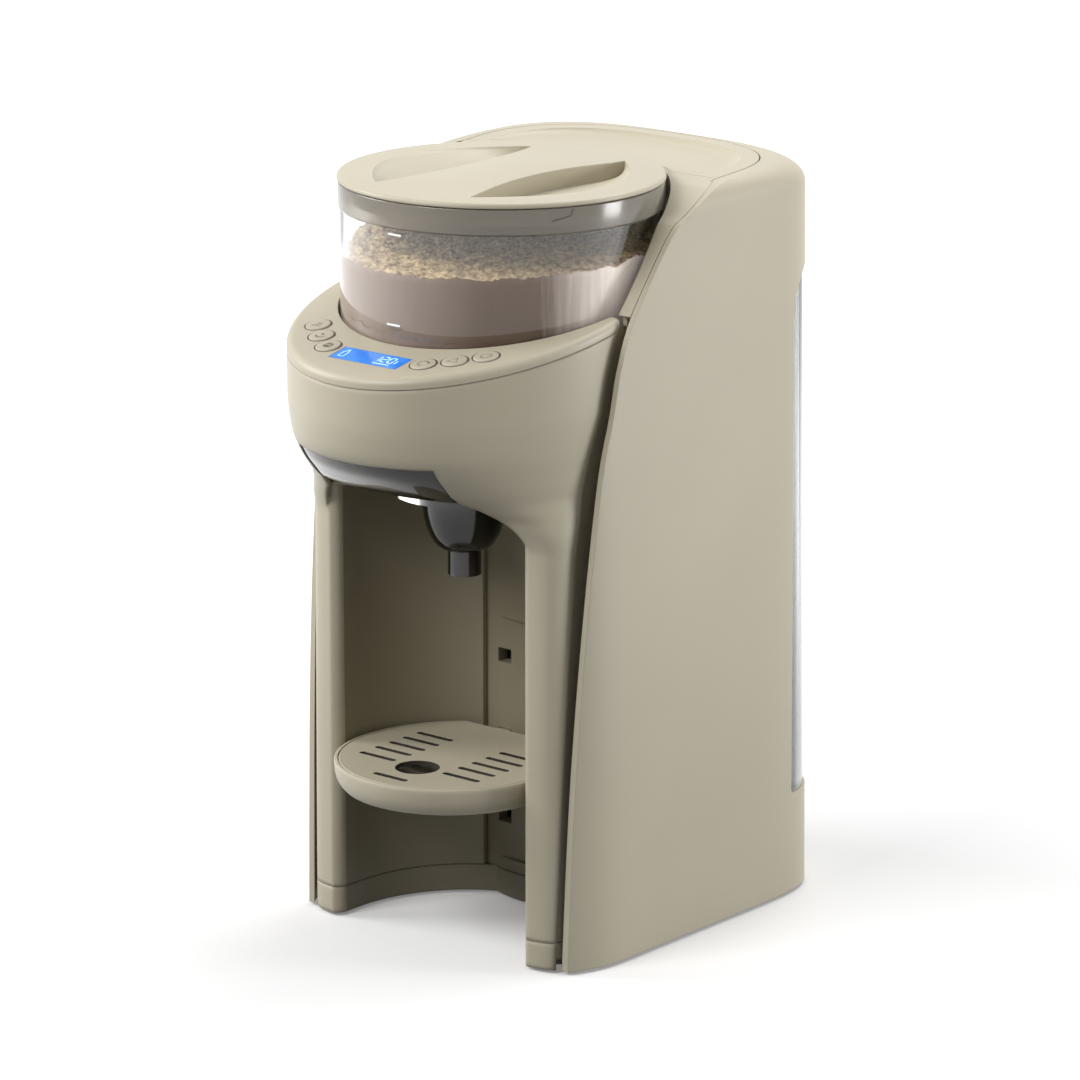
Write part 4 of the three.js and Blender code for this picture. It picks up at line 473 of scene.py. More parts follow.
def half_space(axis, low=-FAR, high=2 * FAR):
    """Everything between two levels along an axis."""
    span = {"X": (-FAR, FAR), "Y": (-FAR, FAR), "Z": (-FAR, 2 * FAR), axis: (low, high)}
    return block(*span["X"], *span["Y"], *span["Z"])


def circle(radius, x, y, sides):
    turns = [2 * pi * i / sides for i in range(sides)]
    return [(x + radius * cos(turn), y + radius * sin(turn)) for turn in turns]


def post(radius, x, y, z0=POST_LOW, z1=POST_HIGH, sides=MEDIUM_SIDES):
    return prism(circle(radius, x, y, sides), "Z", z0, z1)


def axis_post(radius, z0, z1):
    """Fine cylinder about the hopper's axis."""
    return post(radius, 0, AXIS_Y, z0, z1, ROUND_SIDES)


def loft(rings):
    """Skins a stack of rings that have the same count of points."""
    count = len(rings[0])
    last = (len(rings) - 1) * count
    faces = [face for low in range(0, last, count) for face in hoop(low, low + count, count)]
    return form([p for ring in rings for p in ring], [*faces, range(count), range(last, last + count)])


def lathe(profile, y, sides=ROUND_SIDES, x=0):
    """Revolves a closed profile of radius and height about a vertical axis."""
    points = [(*spot, z) for r, z in profile for spot in circle(r, x, y, sides)]
    faces = []
    for level in range(len(profile)):
        after = (level + 1) % len(profile)
        if profile[level][0] or profile[after][0]:
            faces += hoop(level * sides, after * sides, sides)
    return form(points, faces)


def rounded(profile, radii, steps=5):
    """Rounds the corners of a closed profile by the radius given for each."""
    made = []
    count = len(profile)
    for index, (corner, radius) in enumerate(zip(profile, radii)):
        if not radius:
            made.append(corner)
            continue
        here = Vector(corner)
        before = (Vector(profile[index - 1]) - here).normalized()
        after = (Vector(profile[(index + 1) % count]) - here).normalized()
        half = before.angle(after) / 2
        centre = here + (before + after).normalized() * radius / sin(half)
        start = here + before * radius / tan(half) - centre
        turn = start.angle_signed(here + after * radius / tan(half) - centre)
        for step in range(steps + 1):
            angle = -turn * step / steps
            made.append((centre.x + start.x * cos(angle) - start.y * sin(angle),
                         centre.y + start.x * sin(angle) + start.y * cos(angle)))
    return made


def power(value, exponent):
    return copysign(abs(value) ** exponent, value)


def tower_ring(z, inset, rear_power=REAR_POWER):
    """Plan outline of the tower at a height, drawn in by an inset."""
    share = z / BODY_HEIGHT
    half = HALF_WIDTH - FLANK_LEAN * share - inset
    rear_run = REAR_Y - FLANK_REAR_Y - REAR_LEAN * share - inset
    halves = [(0, FLANK_REAR_Y, rear_run, 2 / rear_power),
              (pi, FLANK_FRONT_Y, FRONT_RUN - inset, 2 / FRONT_POWER)]
    return [(half * power(cos(turn), exponent), y + run * power(sin(turn), exponent), z)
            for start, y, run, exponent in halves for turn in half_turn(start)]


def tower_body(inset, bottom):
    """Solid of the tower inside its skin, with the rolled top edge."""
    roll = TOP_ROLL - min(inset, TOP_ROLL / 2)
    base = BODY_HEIGHT - TOP_ROLL
    rings = [tower_ring(bottom, inset), tower_ring(base, inset)]
    for turn in quarter()[1:]:
        blend = 1 - cos(turn)
        rings.append(tower_ring(base + roll * sin(turn), inset + roll * blend,
                                REAR_POWER + (RIM_POWER - REAR_POWER) * blend))
    return loft(rings)


def roof_mouth(clearance, z0, z1):
    ring = tower_ring(BODY_HEIGHT, MOUTH_INSET + clearance, RIM_POWER)
    return prism([(x, y) for x, y, z in ring], "Z", z0, z1)


def smooth_line(knots, steps):
    """Catmull-Rom curve through the knots."""
    made = []
    for i in range(steps + 1):
        place = (len(knots) - 1) * i / steps
        first = min(int(place), len(knots) - 2)
        share = place - first
        p0, p1, p2, p3 = (np.array(knots[min(max(k, 0), len(knots) - 1)])
                          for k in range(first - 1, first + 3))
        v0, v1 = (p2 - p0) / 2, (p3 - p1) / 2
        made.append(tuple((2 * p1 - 2 * p2 + v0 + v1) * share ** 3
                          + (3 * p2 - 3 * p1 - 2 * v0 - v1) * share ** 2 + v0 * share + p1))
    return made


PROFILE = smooth_line([(y * REAR_Y, z * BODY_HEIGHT) for y, z in PROFILE_SHARES], CURVE_STEPS)


def behind_profile(drop=0):
    points = [(y + drop, z - drop) for y, z in PROFILE]
    return full_width([*points, (points[-1][0], points[0][1])])


def ahead_of_profile(clearance):
    points = [(y - clearance, z) for y, z in PROFILE if y < DECK_REAR_Y]
    top, bottom = points[-1][1] + BODY_HEIGHT, points[0][1]
    return full_width([(NOSE_Y - OVERRUN, bottom), *points, (points[-1][0], top), (NOSE_Y - OVERRUN, top)])


def monotone(share, knots):
    """Smooth value between knots that never overshoots them."""
    xs, ys = [k[0] for k in knots], [k[1] for k in knots]
    slopes = [(ys[i + 1] - ys[i]) / (xs[i + 1] - xs[i]) for i in range(len(xs) - 1)]
    leans = [0.0] * len(xs)
    for i in range(1, len(xs) - 1):
        if slopes[i - 1] * slopes[i] > 0:
            leans[i] = 2 * slopes[i - 1] * slopes[i] / (slopes[i - 1] + slopes[i])
    i = max(k for k in range(len(xs) - 1) if xs[k] <= share)
    run = xs[i + 1] - xs[i]
    t = (share - xs[i]) / run
    return ((2 * t ** 3 - 3 * t ** 2 + 1) * ys[i] + (t ** 3 - 2 * t ** 2 + t) * run * leans[i]
            + (3 * t ** 2 - 2 * t ** 3) * ys[i + 1] + (t ** 3 - t ** 2) * run * leans[i + 1])


def shell_section(z):
    share = (z - SWEEP_START) / (SWEEP_END - SWEEP_START)
    clamped = min(1, max(0, share))
    run = monotone(clamped, [(s, r) for s, r, n in SWEEP_SHARES])
    roundness = monotone(clamped, [(s, n) for s, r, n in SWEEP_SHARES])
    leg_top = LEG_HALF - LEG_LEAN
    half = leg_top + (HEAD_HALF - leg_top) * clamped
    if share < 0:
        half = LEG_HALF - LEG_LEAN * z / SWEEP_START
    return half, LEG_DEPTH + (SHELL_CENTRE_Y - NOSE_Y - LEG_DEPTH) * run, roundness


def deck_level(y):
    return DECK_HEIGHT + DECK_SLOPE * y


def shell_ring(z, inset, drop=None):
    """Plan outline of the front shell at a height, or at a drop below the slope of the deck."""
    half, run, roundness = shell_section(z)
    ring = []
    for i in range(NOSE_STEPS + 1):
        turn = pi * (1 + i / NOSE_STEPS)
        ring.append(((half - inset) * power(cos(turn), 2 / roundness),
                     SHELL_CENTRE_Y + (run - inset) * power(sin(turn), 2 / roundness)))
    ring += [(half - inset, -SHELL_CENTRE_Y), (inset - half, -SHELL_CENTRE_Y)]
    return [(x, y, z if drop is None else deck_level(y) - drop) for x, y in ring]


def shell_body(inset, bottom, top):
    levels = [SWEEP_START + (SWEEP_END - SWEEP_START) * i / SWEEP_LEVELS for i in range(SWEEP_LEVELS + 1)]
    return loft([shell_ring(z, inset) for z in [bottom, *[z for z in levels if bottom < z < top], top]])


def under_deck(drop):
    reach = BODY_DEPTH
    low, high = (deck_level(y) - drop for y in (-reach, reach))
    return full_width([(-reach, -reach), (reach, -reach), (reach, high), (-reach, low)])


def bay_prism(grow, z0, z1):
    """Room of the bottle bay, grown outward by a wall."""
    half, depth = BAY_HALF + grow, BAY_DEPTH + grow
    stop = asin(min(1, (BAY_BACK_Y + grow - BAY_CENTRE_Y) / depth))
    turns = [stop * i / MEDIUM_SIDES for i in range(MEDIUM_SIDES + 1)]
    right = [(half * cos(turn), BAY_CENTRE_Y + depth * sin(turn)) for turn in turns]
    back = [(share * right[-1][0], BAY_BACK_Y + grow - BAY_BULGE * cos(pi * share / 2))
            for share in np.linspace(0.9, -0.9, BACK_STEPS)]
    left = [(-x, y) for x, y in reversed(right)]
    return prism([(half, MOUTH_Y), *right, *back, *left, (-half, MOUTH_Y)], "Z", z0, z1)


def bay_space(z0, z1):
    """Space cut for the bay: the room itself and its flared mouth between the legs."""
    flare = [(BAY_HALF + MOUTH_RADIUS * (1 - cos(turn)), MOUTH_Y - MOUTH_RADIUS * sin(turn))
             for turn in quarter()]
    end = flare[-1][0]
    mouth = prism([(-BAY_HALF, MOUTH_Y + OVERRUN), *[(-x, y) for x, y in flare],
                   (-end, NOSE_Y - OVERRUN), (end, NOSE_Y - OVERRUN), *reversed(flare),
                   (BAY_HALF, MOUTH_Y + OVERRUN)], "Z", z0, z1)
    return joined(bay_prism(0, z0, z1), mouth)


def mouth_posts(radius, z0, z1):
    return [post(radius, side * MOUTH_HALF, MOUTH_Y, z0, z1) for side in (-1, 1)]


def bay_walls(z0, z1):
    posts = [cut(outer, inner) for outer, inner in zip(
        mouth_posts(MOUTH_RADIUS, z0, z1), mouth_posts(MOUTH_RADIUS - WALL, z0 - OVERRUN, z1 + OVERRUN))]
    return joined(bay_prism(WALL, z0, z1), *posts)


def arch_space():
    """Front view of the arch over the bay, cut ahead of the posts at the bay's mouth."""
    knots = [(MOUTH_HALF * half, ARCH_SPRING + (ARCH_CROWN - ARCH_SPRING) * rise)
             for half, rise in ARCH_SHARES]
    bend, crown = knots[:-3], knots[-3:]
    right = [knots[0], *smooth_line(bend[1:], ARCH_STEPS), *crown]
    left = [(-x, z) for x, z in reversed(right)]
    return cut(prism([*right, *left], "Y", NOSE_Y - OVERRUN, MOUTH_Y),
               *mouth_posts(MOUTH_RADIUS, ARCH_LOW, BAY_TOP + OVERRUN))


def front_shell():
    bottom = BAY_SEAM + SEAT_GAP
    outer = shell_body(0, bottom, DECK_HEIGHT)
    inner = shell_body(WALL, bottom - OVERRUN, DECK_HEIGHT + OVERRUN)
    tuck = slab(DECK_REAR_Y + TIP_CLEARANCE - SEAT_GAP, BODY_DEPTH,
                HOPPER_FLOOR - SEAT_THICKNESS - 2 * SEAT_GAP, 2 * BODY_HEIGHT)
    flange = cut(meet(shell_body(FLANGE_STEP, bottom, DECK_HEIGHT), ahead_of_profile(-FLANGE_RUN)), tuck)
    hollow = joined(shell_body(WALL + FLANGE_STEP, bottom - OVERRUN, DECK_HEIGHT + OVERRUN),
                    meet(inner, ahead_of_profile(GROOVE_WIDTH + OVERRUN)))
    skin = cut(joined(meet(outer, ahead_of_profile(GROOVE_WIDTH)), flange), hollow)
    walls = cut(bay_walls(bottom, BAY_TOP), half_space("Y", BAY_BACK_Y - SEAT_GAP),
                block(-BAY_BACK_HALF, BAY_BACK_HALF, BAY_CENTRE_Y, REAR_Y, 0, BODY_HEIGHT))
    walls = meet(walls, joined(outer, slab(SHELL_CENTRE_Y, REAR_Y, 0, BODY_HEIGHT)))
    shell = cut(joined(skin, walls), bay_space(bottom - OVERRUN, ARCH_SPRING),
                bay_prism(0, bottom, BAY_TOP + OVERRUN), arch_space())
    return meet(shell, under_deck(DECK_THICKNESS + SEAT_GAP))


def base_trim():
    outer = meet(shell_body(0, PANEL_BOTTOM, DECK_HEIGHT), ahead_of_profile(GROOVE_WIDTH))
    flange = cut(meet(shell_body(FLANGE_STEP, PANEL_BOTTOM, DECK_HEIGHT), ahead_of_profile(-FLANGE_RUN)),
                 meet(joined(tower_body(WALL, -OVERRUN), shell_body(WALL, -OVERRUN, DECK_HEIGHT)),
                      half_space("Z", high=BASE_BOTTOM + BASE_THICKNESS + SEAT_GAP)))
    skin = joined(cut(outer, shell_body(WALL, PANEL_BOTTOM - OVERRUN, DECK_HEIGHT)),
                  cut(flange, shell_body(WALL + FLANGE_STEP, PANEL_BOTTOM - OVERRUN, DECK_HEIGHT)))
    around = meet(bay_walls(PANEL_BOTTOM, BAY_SEAM),
                  joined(outer, slab(LEG_FRONT_Y + WALL, REAR_Y, PANEL_BOTTOM, BAY_SEAM)))
    trim = meet(joined(skin, around), half_space("Z", PANEL_BOTTOM, BAY_SEAM))
    return cut(trim, bay_space(PANEL_BOTTOM - OVERRUN, BAY_SEAM + OVERRUN))


def tank_window():
    """Cutter of the opening that the tank shows in, open to the rear."""
    def corner(radius, start, level):
        return [(WINDOW_FRONT + radius * (1 + cos(turn)), level + radius * sin(turn))
                for turn in quarter(start)]

    return full_width([
        *corner(WINDOW_BOTTOM_RADIUS, pi, WINDOW_BOTTOM + WINDOW_BOTTOM_RADIUS),
        (REAR_Y + OVERRUN, WINDOW_BOTTOM), (REAR_Y + OVERRUN, WINDOW_TOP),
        *corner(WINDOW_TOP_RADIUS, pi / 2, WINDOW_TOP - WINDOW_TOP_RADIUS)])


def tank_face():
    """Clear wall that fills the tank's opening just behind the line of the panels."""
    opening = tank_window()
    opening.transform(Matrix.Translation((0, FACE_GAP, 0)))
    height = slab(0, BODY_DEPTH, WINDOW_BOTTOM + FACE_GAP, WINDOW_TOP - FACE_GAP)
    return meet(cut(tower_body(FACE_OUTER, -OVERRUN), tower_body(FACE_INNER, -2 * OVERRUN)), opening, height)


def side_panels():
    """Both tall side panels, cut apart at the middle of the rear."""
    wide, tall = INLET_WIDTH / 2 + SEAT_GAP, INLET_TALL / 2 + SEAT_GAP
    inlet = block(INLET_X - wide, INLET_X + wide, REAR_Y - INLET_DEPTH, REAR_Y + OVERRUN,
                  INLET_HEIGHT - tall, INLET_HEIGHT + tall)
    shell = cut(meet(tower_body(0, PANEL_BOTTOM), behind_profile()),
                tower_body(WALL, PANEL_BOTTOM - OVERRUN),
                roof_mouth(0, BODY_HEIGHT - TOP_ROLL / 2, BODY_HEIGHT + OVERRUN), tank_window(), inlet)
    return [cut(shell, half_space("X", high=SEAT_GAP / 2)), cut(shell, half_space("X", -SEAT_GAP / 2))]


def well(wall, z0):
    return axis_post(WELL_RADIUS + wall, z0, 2 * BODY_HEIGHT)


def top_skin():
    edge = BODY_HEIGHT - TOP_ROLL / 2
    core = joined(tower_body(WALL + SEAT_GAP, 0), roof_mouth(SEAT_GAP, edge, BODY_HEIGHT))
    under = joined(tower_body(2 * WALL + SEAT_GAP, -OVERRUN), roof_mouth(WALL, edge, BODY_HEIGHT))
    return meet(core, behind_profile()), meet(under, behind_profile(COVER_THICKNESS))


def hopper_collar(core, under):
    ring = meet(well(WELL_WALL, HOPPER_FLOOR), core)
    foot = slab(-BODY_DEPTH, DECK_REAR_Y + TIP_CLEARANCE, 0, deck_level(DECK_REAR_Y) + SEAT_GAP)
    low = full_width([
        (-BODY_DEPTH, 0), (SEAM_Y + OVERRUN, 0), (SEAM_Y + OVERRUN, BODY_HEIGHT - 4 * COVER_SKIRT),
        *reversed([(y, z - 3 * COVER_SKIRT) for y, z in PROFILE if DECK_REAR_Y < y < SEAM_Y]),
        (-BODY_DEPTH, COLLAR_LOW)])
    notch_y = AXIS_Y + sqrt((WELL_RADIUS + WELL_WALL) ** 2 - NOTCH_X ** 2)
    skin = meet(cut(core, under), half_space("Y", high=SEAM_Y))
    return cut(joined(skin, ring), half_space("Z", high=HOPPER_FLOOR),
               cut(low, well(WELL_WALL, HOPPER_FLOOR)), well(0, 0), foot,
               post(NOTCH_RADIUS, NOTCH_X, notch_y), post(NOTCH_RADIUS, -NOTCH_X, notch_y))


def dish():
    rings = []
    for turn in quarter():
        lift = BODY_HEIGHT - DISH_DEPTH * cos(turn)
        ring = [(x, y, lift) for x, y, z in tower_ring(
            BODY_HEIGHT, MOUTH_INSET + DISH_INSET * (2 - sin(turn)), RIM_POWER)
            if y > DISH_FRONT_Y + DISH_INSET]
        rings.append((ring, DISH_FRONT_Y + DISH_INSET * (1 - sin(turn)), lift))
    count = min(len(ring) for ring, front, lift in rings)
    made = []
    for ring, front, lift in rings:
        spare = (len(ring) - count) // 2
        ring = ring[spare:spare + count]
        made.append([*ring, (ring[-1][0], front, lift), (ring[0][0], front, lift)])
    made.append([(x, y, BODY_HEIGHT + OVERRUN) for x, y, z in made[-1]])
    return loft(made)


def tower_lid(core):
    edge = BODY_HEIGHT - TOP_ROLL / 2
    hollow = cut(meet(roof_mouth(SEAT_GAP + WALL, 0, edge), half_space("Y", SEAM_Y + WALL)),
                 axis_post(WELL_RADIUS + 2 * WELL_WALL + WALL, 0, BODY_HEIGHT))
    mouth = roof_mouth(SEAT_GAP + SLIDE_GAP / 2, 0, 2 * BODY_HEIGHT)
    lid = meet(core, half_space("Y", SEAM_Y + SEAT_GAP), mouth, half_space("Z", edge - COVER_SKIRT))
    return cut(lid, well(WELL_WALL + SEAT_GAP, 0), hollow, dish())


DECK_TURN = Matrix.Translation((0, 0, DECK_HEIGHT)) @ Matrix.Rotation(atan(DECK_SLOPE), 4, "X")
DECK_COS = cos(atan(DECK_SLOPE))


def on_deck(mesh):
    mesh.transform(DECK_TURN)
    return mesh


def control_deck():
    rings = [shell_ring(SWEEP_END, DECK_EDGE * (1 - cos(turn)), DECK_EDGE * (1 - sin(turn)))
             for turn in quarter(steps=DECK_STEPS)]
    deck = meet(loft([shell_ring(SWEEP_END, 0, DECK_THICKNESS), *rings]), ahead_of_profile(GROOVE_WIDTH))
    middle = DISPLAY_Y / DECK_COS
    recess, opening = (on_deck(block(-w / 2, w / 2, middle - d / 2, middle + d / 2, low, OVERRUN))
                       for w, d, low in (
                           (DISPLAY_WIDTH + 2 * SEAT_GAP, DISPLAY_DEPTH + 2 * SEAT_GAP, -DISPLAY_THICKNESS),
                           (DISPLAY_WIDTH - 2 * DISPLAY_LEDGE, DISPLAY_DEPTH - 2 * DISPLAY_LEDGE,
                            -DECK_THICKNESS - OVERRUN)))
    holes = [on_deck(post(BUTTON_RADIUS + SEAT_GAP, x, y / DECK_COS, -DECK_THICKNESS - OVERRUN, OVERRUN))
             for x, y in BUTTON_PLACES]
    return cut(deck, slab(DECK_REAR_Y, BODY_DEPTH, 0, BODY_HEIGHT), axis_post(DECK_BORE, 0, BODY_HEIGHT),
               recess, opening, *holes)


def hopper_container():
    inner = HOPPER_RADIUS - HOPPER_WALL
    step = HOPPER_BAND_RADIUS - HOPPER_RADIUS
    wall = rounded([
        (0, HOPPER_FLOOR), (HOPPER_RADIUS, HOPPER_FLOOR), (HOPPER_RADIUS, HOPPER_BAND),
        (HOPPER_BAND_RADIUS, HOPPER_BAND + step), (HOPPER_BAND_RADIUS, HOPPER_TOP),
        (inner, HOPPER_TOP), (inner, HOPPER_FLOOR + HOPPER_WALL), (0, HOPPER_FLOOR + HOPPER_WALL),
    ], (0, 1.5, 0.4, 0.5, 0.6, 0.6, 1, 0))
    return cut(lathe(wall, AXIS_Y), post(OUTLET_RADIUS, 0, AXIS_Y - OUTLET_OFFSET, 0, HOPPER_FLOOR + OVERRUN),
               post(SHAFT_RADIUS + SLIDE_GAP, 0, AXIS_Y, 0, HOPPER_FLOOR + OVERRUN))


def grip_half(share):
    return GRIP_WAIST_HALF + (GRIP_END_HALF - GRIP_WAIST_HALF) * share * share


def scoop(side):
    """Finger hollow beside the grip bar: steep at the bar, shallow towards the rim."""
    rings = []
    for level in range(SCOOP_LEVELS + 1):
        depth = 1 - level / SCOOP_LEVELS
        reach = monotone(depth, SCOOP_STEPS)
        shares = [2 * i / SCOOP_SIDES - 1 for i in range(SCOOP_SIDES + 1)]
        inner = [(grip_half(share), share * GRIP_END_Y) for share in shares]
        outer = []
        for share in [-share for share in shares[1:-1]]:
            far = GRIP_END_HALF + (SCOOP_REACH - GRIP_END_HALF) * (1 - share * share)
            outer.append((grip_half(share) + (far - grip_half(share)) * reach, share * GRIP_END_Y))
        rings.append([(side * x, AXIS_Y + y, LID_TOP - SCOOP_DEPTH * depth) for x, y in [*inner, *outer]])
    rings.append([(x, y, LID_TOP + GRIP_CROWN + OVERRUN) for x, y, z in rings[-1]])
    return loft(rings)


def hopper_lid():
    rim_low = LID_TOP - LID_RIM
    plug = HOPPER_RADIUS - HOPPER_WALL - PLUG_GAP
    plug_low = rim_low - PLUG_DEPTH
    disc = lathe(rounded([(0, plug_low), (plug, plug_low), (plug, rim_low), (LID_RADIUS, rim_low),
                          (LID_RADIUS, LID_TOP), (0, LID_TOP)], (0, 0.4, 0, 0.5, 1.6, 0)), AXIS_Y)
    sections = []
    for along in np.linspace(-1, 1, GRIP_STEPS + 1):
        rise = GRIP_CROWN * (1 - abs(along) ** CROWN_POWER)
        bar = [(GRIP_END_HALF * share, LID_TOP - CROWN_SINK + rise * cos(pi * share / 2))
               for share in np.linspace(1, -1, GRIP_STEPS + 1)]
        outline = [*bar, (-GRIP_END_HALF, rim_low), (GRIP_END_HALF, rim_low)]
        sections.append([(x, AXIS_Y + along * GRIP_END_Y, z) for x, z in outline])
    crown = loft(sections)
    under = axis_post(plug - WALL, plug_low - OVERRUN, plug_low + WALL)
    hollow = block(WALL - GRIP_WAIST_HALF, GRIP_WAIST_HALF - WALL, AXIS_Y - GRIP_END_Y,
                   AXIS_Y + GRIP_END_Y, plug_low - OVERRUN, rim_low)
    return cut(joined(disc, crown), under, hollow, scoop(1), scoop(-1))


def funnel():
    top = CARRIER_LOW + CARRIER_THICKNESS + SEAT_GAP + FLANGE_THICKNESS
    collar, neck, low = top - COLLAR_DROP, top - NECK_DROP, top - FUNNEL_DROP
    spread = BOWL_RADIUS - NECK_RADIUS
    curve = [(NECK_RADIUS + spread * cos(turn) ** BOWL_POWER, collar + (neck - collar) * sin(turn))
             for turn in quarter(steps=BOWL_STEPS)]
    outer = rounded([
        (FUNNEL_FLANGE, top), (FUNNEL_FLANGE, top - FLANGE_THICKNESS),
        (FUNNEL_MOUTH, top - FLANGE_THICKNESS), (FUNNEL_MOUTH, collar + COLLAR_THICKNESS),
        (COLLAR_RADIUS, collar + COLLAR_THICKNESS), (COLLAR_RADIUS, collar),
    ], (0, 0, 0, 0.6, 0.8, 1.2))
    inner = [(NECK_RADIUS - FUNNEL_WALL, low), *[(r - FUNNEL_WALL, z) for r, z in reversed(curve)],
             (FUNNEL_MOUTH - FUNNEL_WALL, collar + 2 * COLLAR_THICKNESS), (FUNNEL_MOUTH - FUNNEL_WALL, top)]
    return lathe([*outer, *curve, (NECK_RADIUS, low), *inner], FUNNEL_Y, FUNNEL_SIDES)


def funnel_cover():
    low, top = CARRIER_LOW, ARCH_CROWN - SEAT_GAP
    half = RUNNER_HALF - SLIDE_GAP
    crown = MOUTH_HALF * ARCH_SHARES[-1][0] - SLIDE_GAP
    ledge = low + CARRIER_THICKNESS
    view = prism([(-crown, top), (-half, ledge), (-half, low), (half, low), (half, ledge), (crown, top)],
                 "Y", NOSE_Y, SHELL_CENTRE_Y - VISOR_INSET)
    visor = meet(cut(shell_body(VISOR_INSET, low - OVERRUN, top + OVERRUN),
                     shell_body(VISOR_INSET + VISOR_WALL, low - 2 * OVERRUN, top + 2 * OVERRUN)), view)
    plan = joined(shell_body(VISOR_INSET, low, ledge),
                  slab(SHELL_CENTRE_Y - OVERRUN, BODY_DEPTH, low, ledge))
    floor = meet(block(-half, half, -BODY_DEPTH, CARRIER_REAR_Y, low, ledge), plan)
    return cut(joined(visor, floor), post(FUNNEL_MOUTH + SEAT_GAP, 0, FUNNEL_Y, 0, BODY_HEIGHT, FUNNEL_SIDES))


def tray_outline(inset):
    """Half round in front, narrower inside the bay."""
    radius, rear_run = TRAY_RADIUS - inset, TRAY_REAR_RUN - inset
    stop = asin((TRAY_REAR_Y - inset - TRAY_CENTRE_Y) / rear_run)
    turns = [*[(pi * (1 + i / TRAY_STEPS), radius) for i in range(TRAY_STEPS + 1)],
             *[(stop * i / WING_STEPS, rear_run) for i in range(1, WING_STEPS + 1)]]
    points = [(radius * cos(turn), TRAY_CENTRE_Y + run * sin(turn)) for turn, run in turns]
    return [*points, *[(-x, y) for x, y in reversed(points[TRAY_STEPS + 1:])]]


def tray_loft(levels):
    """Skins the tray's outline at each inset and height."""
    return loft([[(x, y, z) for x, y in tray_outline(inset)] for inset, z in levels])


def drip_tray():
    low = TRAY_TOP - TRAY_HEIGHT
    outer = tray_loft([
        (TRAY_TAPER + 1, low), (TRAY_TAPER, low + 1), (TRAY_TAPER * 0.7, low + TRAY_HEIGHT / 6),
        (TRAY_TAPER / 3, low + TRAY_HEIGHT / 3), (0.3, low + TRAY_HEIGHT / 1.8), (0, TRAY_TOP - TRAY_WALL),
        (0, TRAY_TOP - LIP), (0.3 * LIP, TRAY_TOP - 0.3 * LIP), (LIP, TRAY_TOP)])
    high = TRAY_TOP + OVERRUN
    pan = tray_loft([(TRAY_TAPER + TRAY_WALL, low + TRAY_WALL), (GRILLE_INSET + TRAY_WALL, high)])
    rebate = prism(tray_outline(GRILLE_INSET), "Z", TRAY_TOP - GRILLE_THICKNESS - SEAT_GAP, high)
    top = TRAY_TOP - HOOK_DROP
    hooks = [block(side * HOOK_HALF - HOOK_WIDTH / 2, side * HOOK_HALF + HOOK_WIDTH / 2,
                   TRAY_REAR_Y - TRAY_TAPER - TRAY_WALL / 2, TRAY_REAR_Y + HOOK_REACH, top - HOOK_HEIGHT, top)
             for side in (-1, 1)]
    return joined(cut(outer, pan, rebate), *hooks)


def slot(x0, x1, y):
    half, steps = SLOT_WIDTH / 2, 8
    ends = [(x1 - half, -pi / 2), (x0 + half, pi / 2)]
    points = [(x + half * cos(start + pi * i / steps), y + half * sin(start + pi * i / steps))
              for x, start in ends for i in range(steps + 1)]
    return prism(points, "Z", 0, BODY_HEIGHT)


def drip_grille():
    inset = GRILLE_INSET + SEAT_GAP
    plate = tray_loft([(inset, TRAY_TOP - GRILLE_THICKNESS), (inset, TRAY_TOP - GRILLE_EDGE),
                       (inset + GRILLE_EDGE, TRAY_TOP)])
    slots = [slot(-SLOT_FRONT_HALF, SLOT_FRONT_HALF, SLOT_FRONT_Y)]
    for y in SLOT_ROWS:
        slots += [slot(SLOT_INNER, SLOT_OUTER, y), slot(-SLOT_OUTER, -SLOT_INNER, y)]
    return cut(plate, post(GRILLE_HOLE, 0, GRILLE_HOLE_Y), *slots)


def key(x, y):
    """Round key: flat top with a soft edge, flange and stem."""
    top = BUTTON_PROUD
    flange = -DECK_THICKNESS * DECK_COS - SEAT_GAP
    low = flange - BUTTON_FLANGE_THICKNESS
    profile = rounded([
        (0, top), (BUTTON_RADIUS, top), (BUTTON_RADIUS, flange), (BUTTON_FLANGE, flange),
        (BUTTON_FLANGE, low), (BUTTON_STEM, low), (BUTTON_STEM, low - BUTTON_STEM_DROP),
        (0, low - BUTTON_STEM_DROP)], (0, 0.5, 0, 0, 0, 0, 0, 0))
    return on_deck(lathe(profile, y / DECK_COS, MEDIUM_SIDES, x))


def piece_of_form(name, form_made, look, node):
    """Piece made of a form in millimetres, riding on the body of a CAD node."""
    form_made.transform(Matrix.Scale(MM, 4))
    form_made.name = name
    form_made.materials.clear()
    form_made.materials.append(look)
    item = add_object(name, form_made)
    smooth_shaded(item)
    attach(item, BODY_OF[node])
    return item


def second_look(item, look, inside):
    """Gives the faces whose middle lies inside the region a look of their own."""
    item.data.materials.append(look)
    for face in item.data.polygons:
        if inside(face.center / MM):
            face.material_index = 1


def in_bay(spot):
    return abs(spot.x) < BAY_HALF + SEAT_GAP and spot.y > MOUTH_Y


# Faces of the grille below its top, which take the painted shade
def in_slot(spot):
    reach = hypot(spot.x, spot.y - TRAY_CENTRE_Y)
    return spot.z < TRAY_TOP - SEAT_GAP and reach < TRAY_RADIUS - 2 * WALL


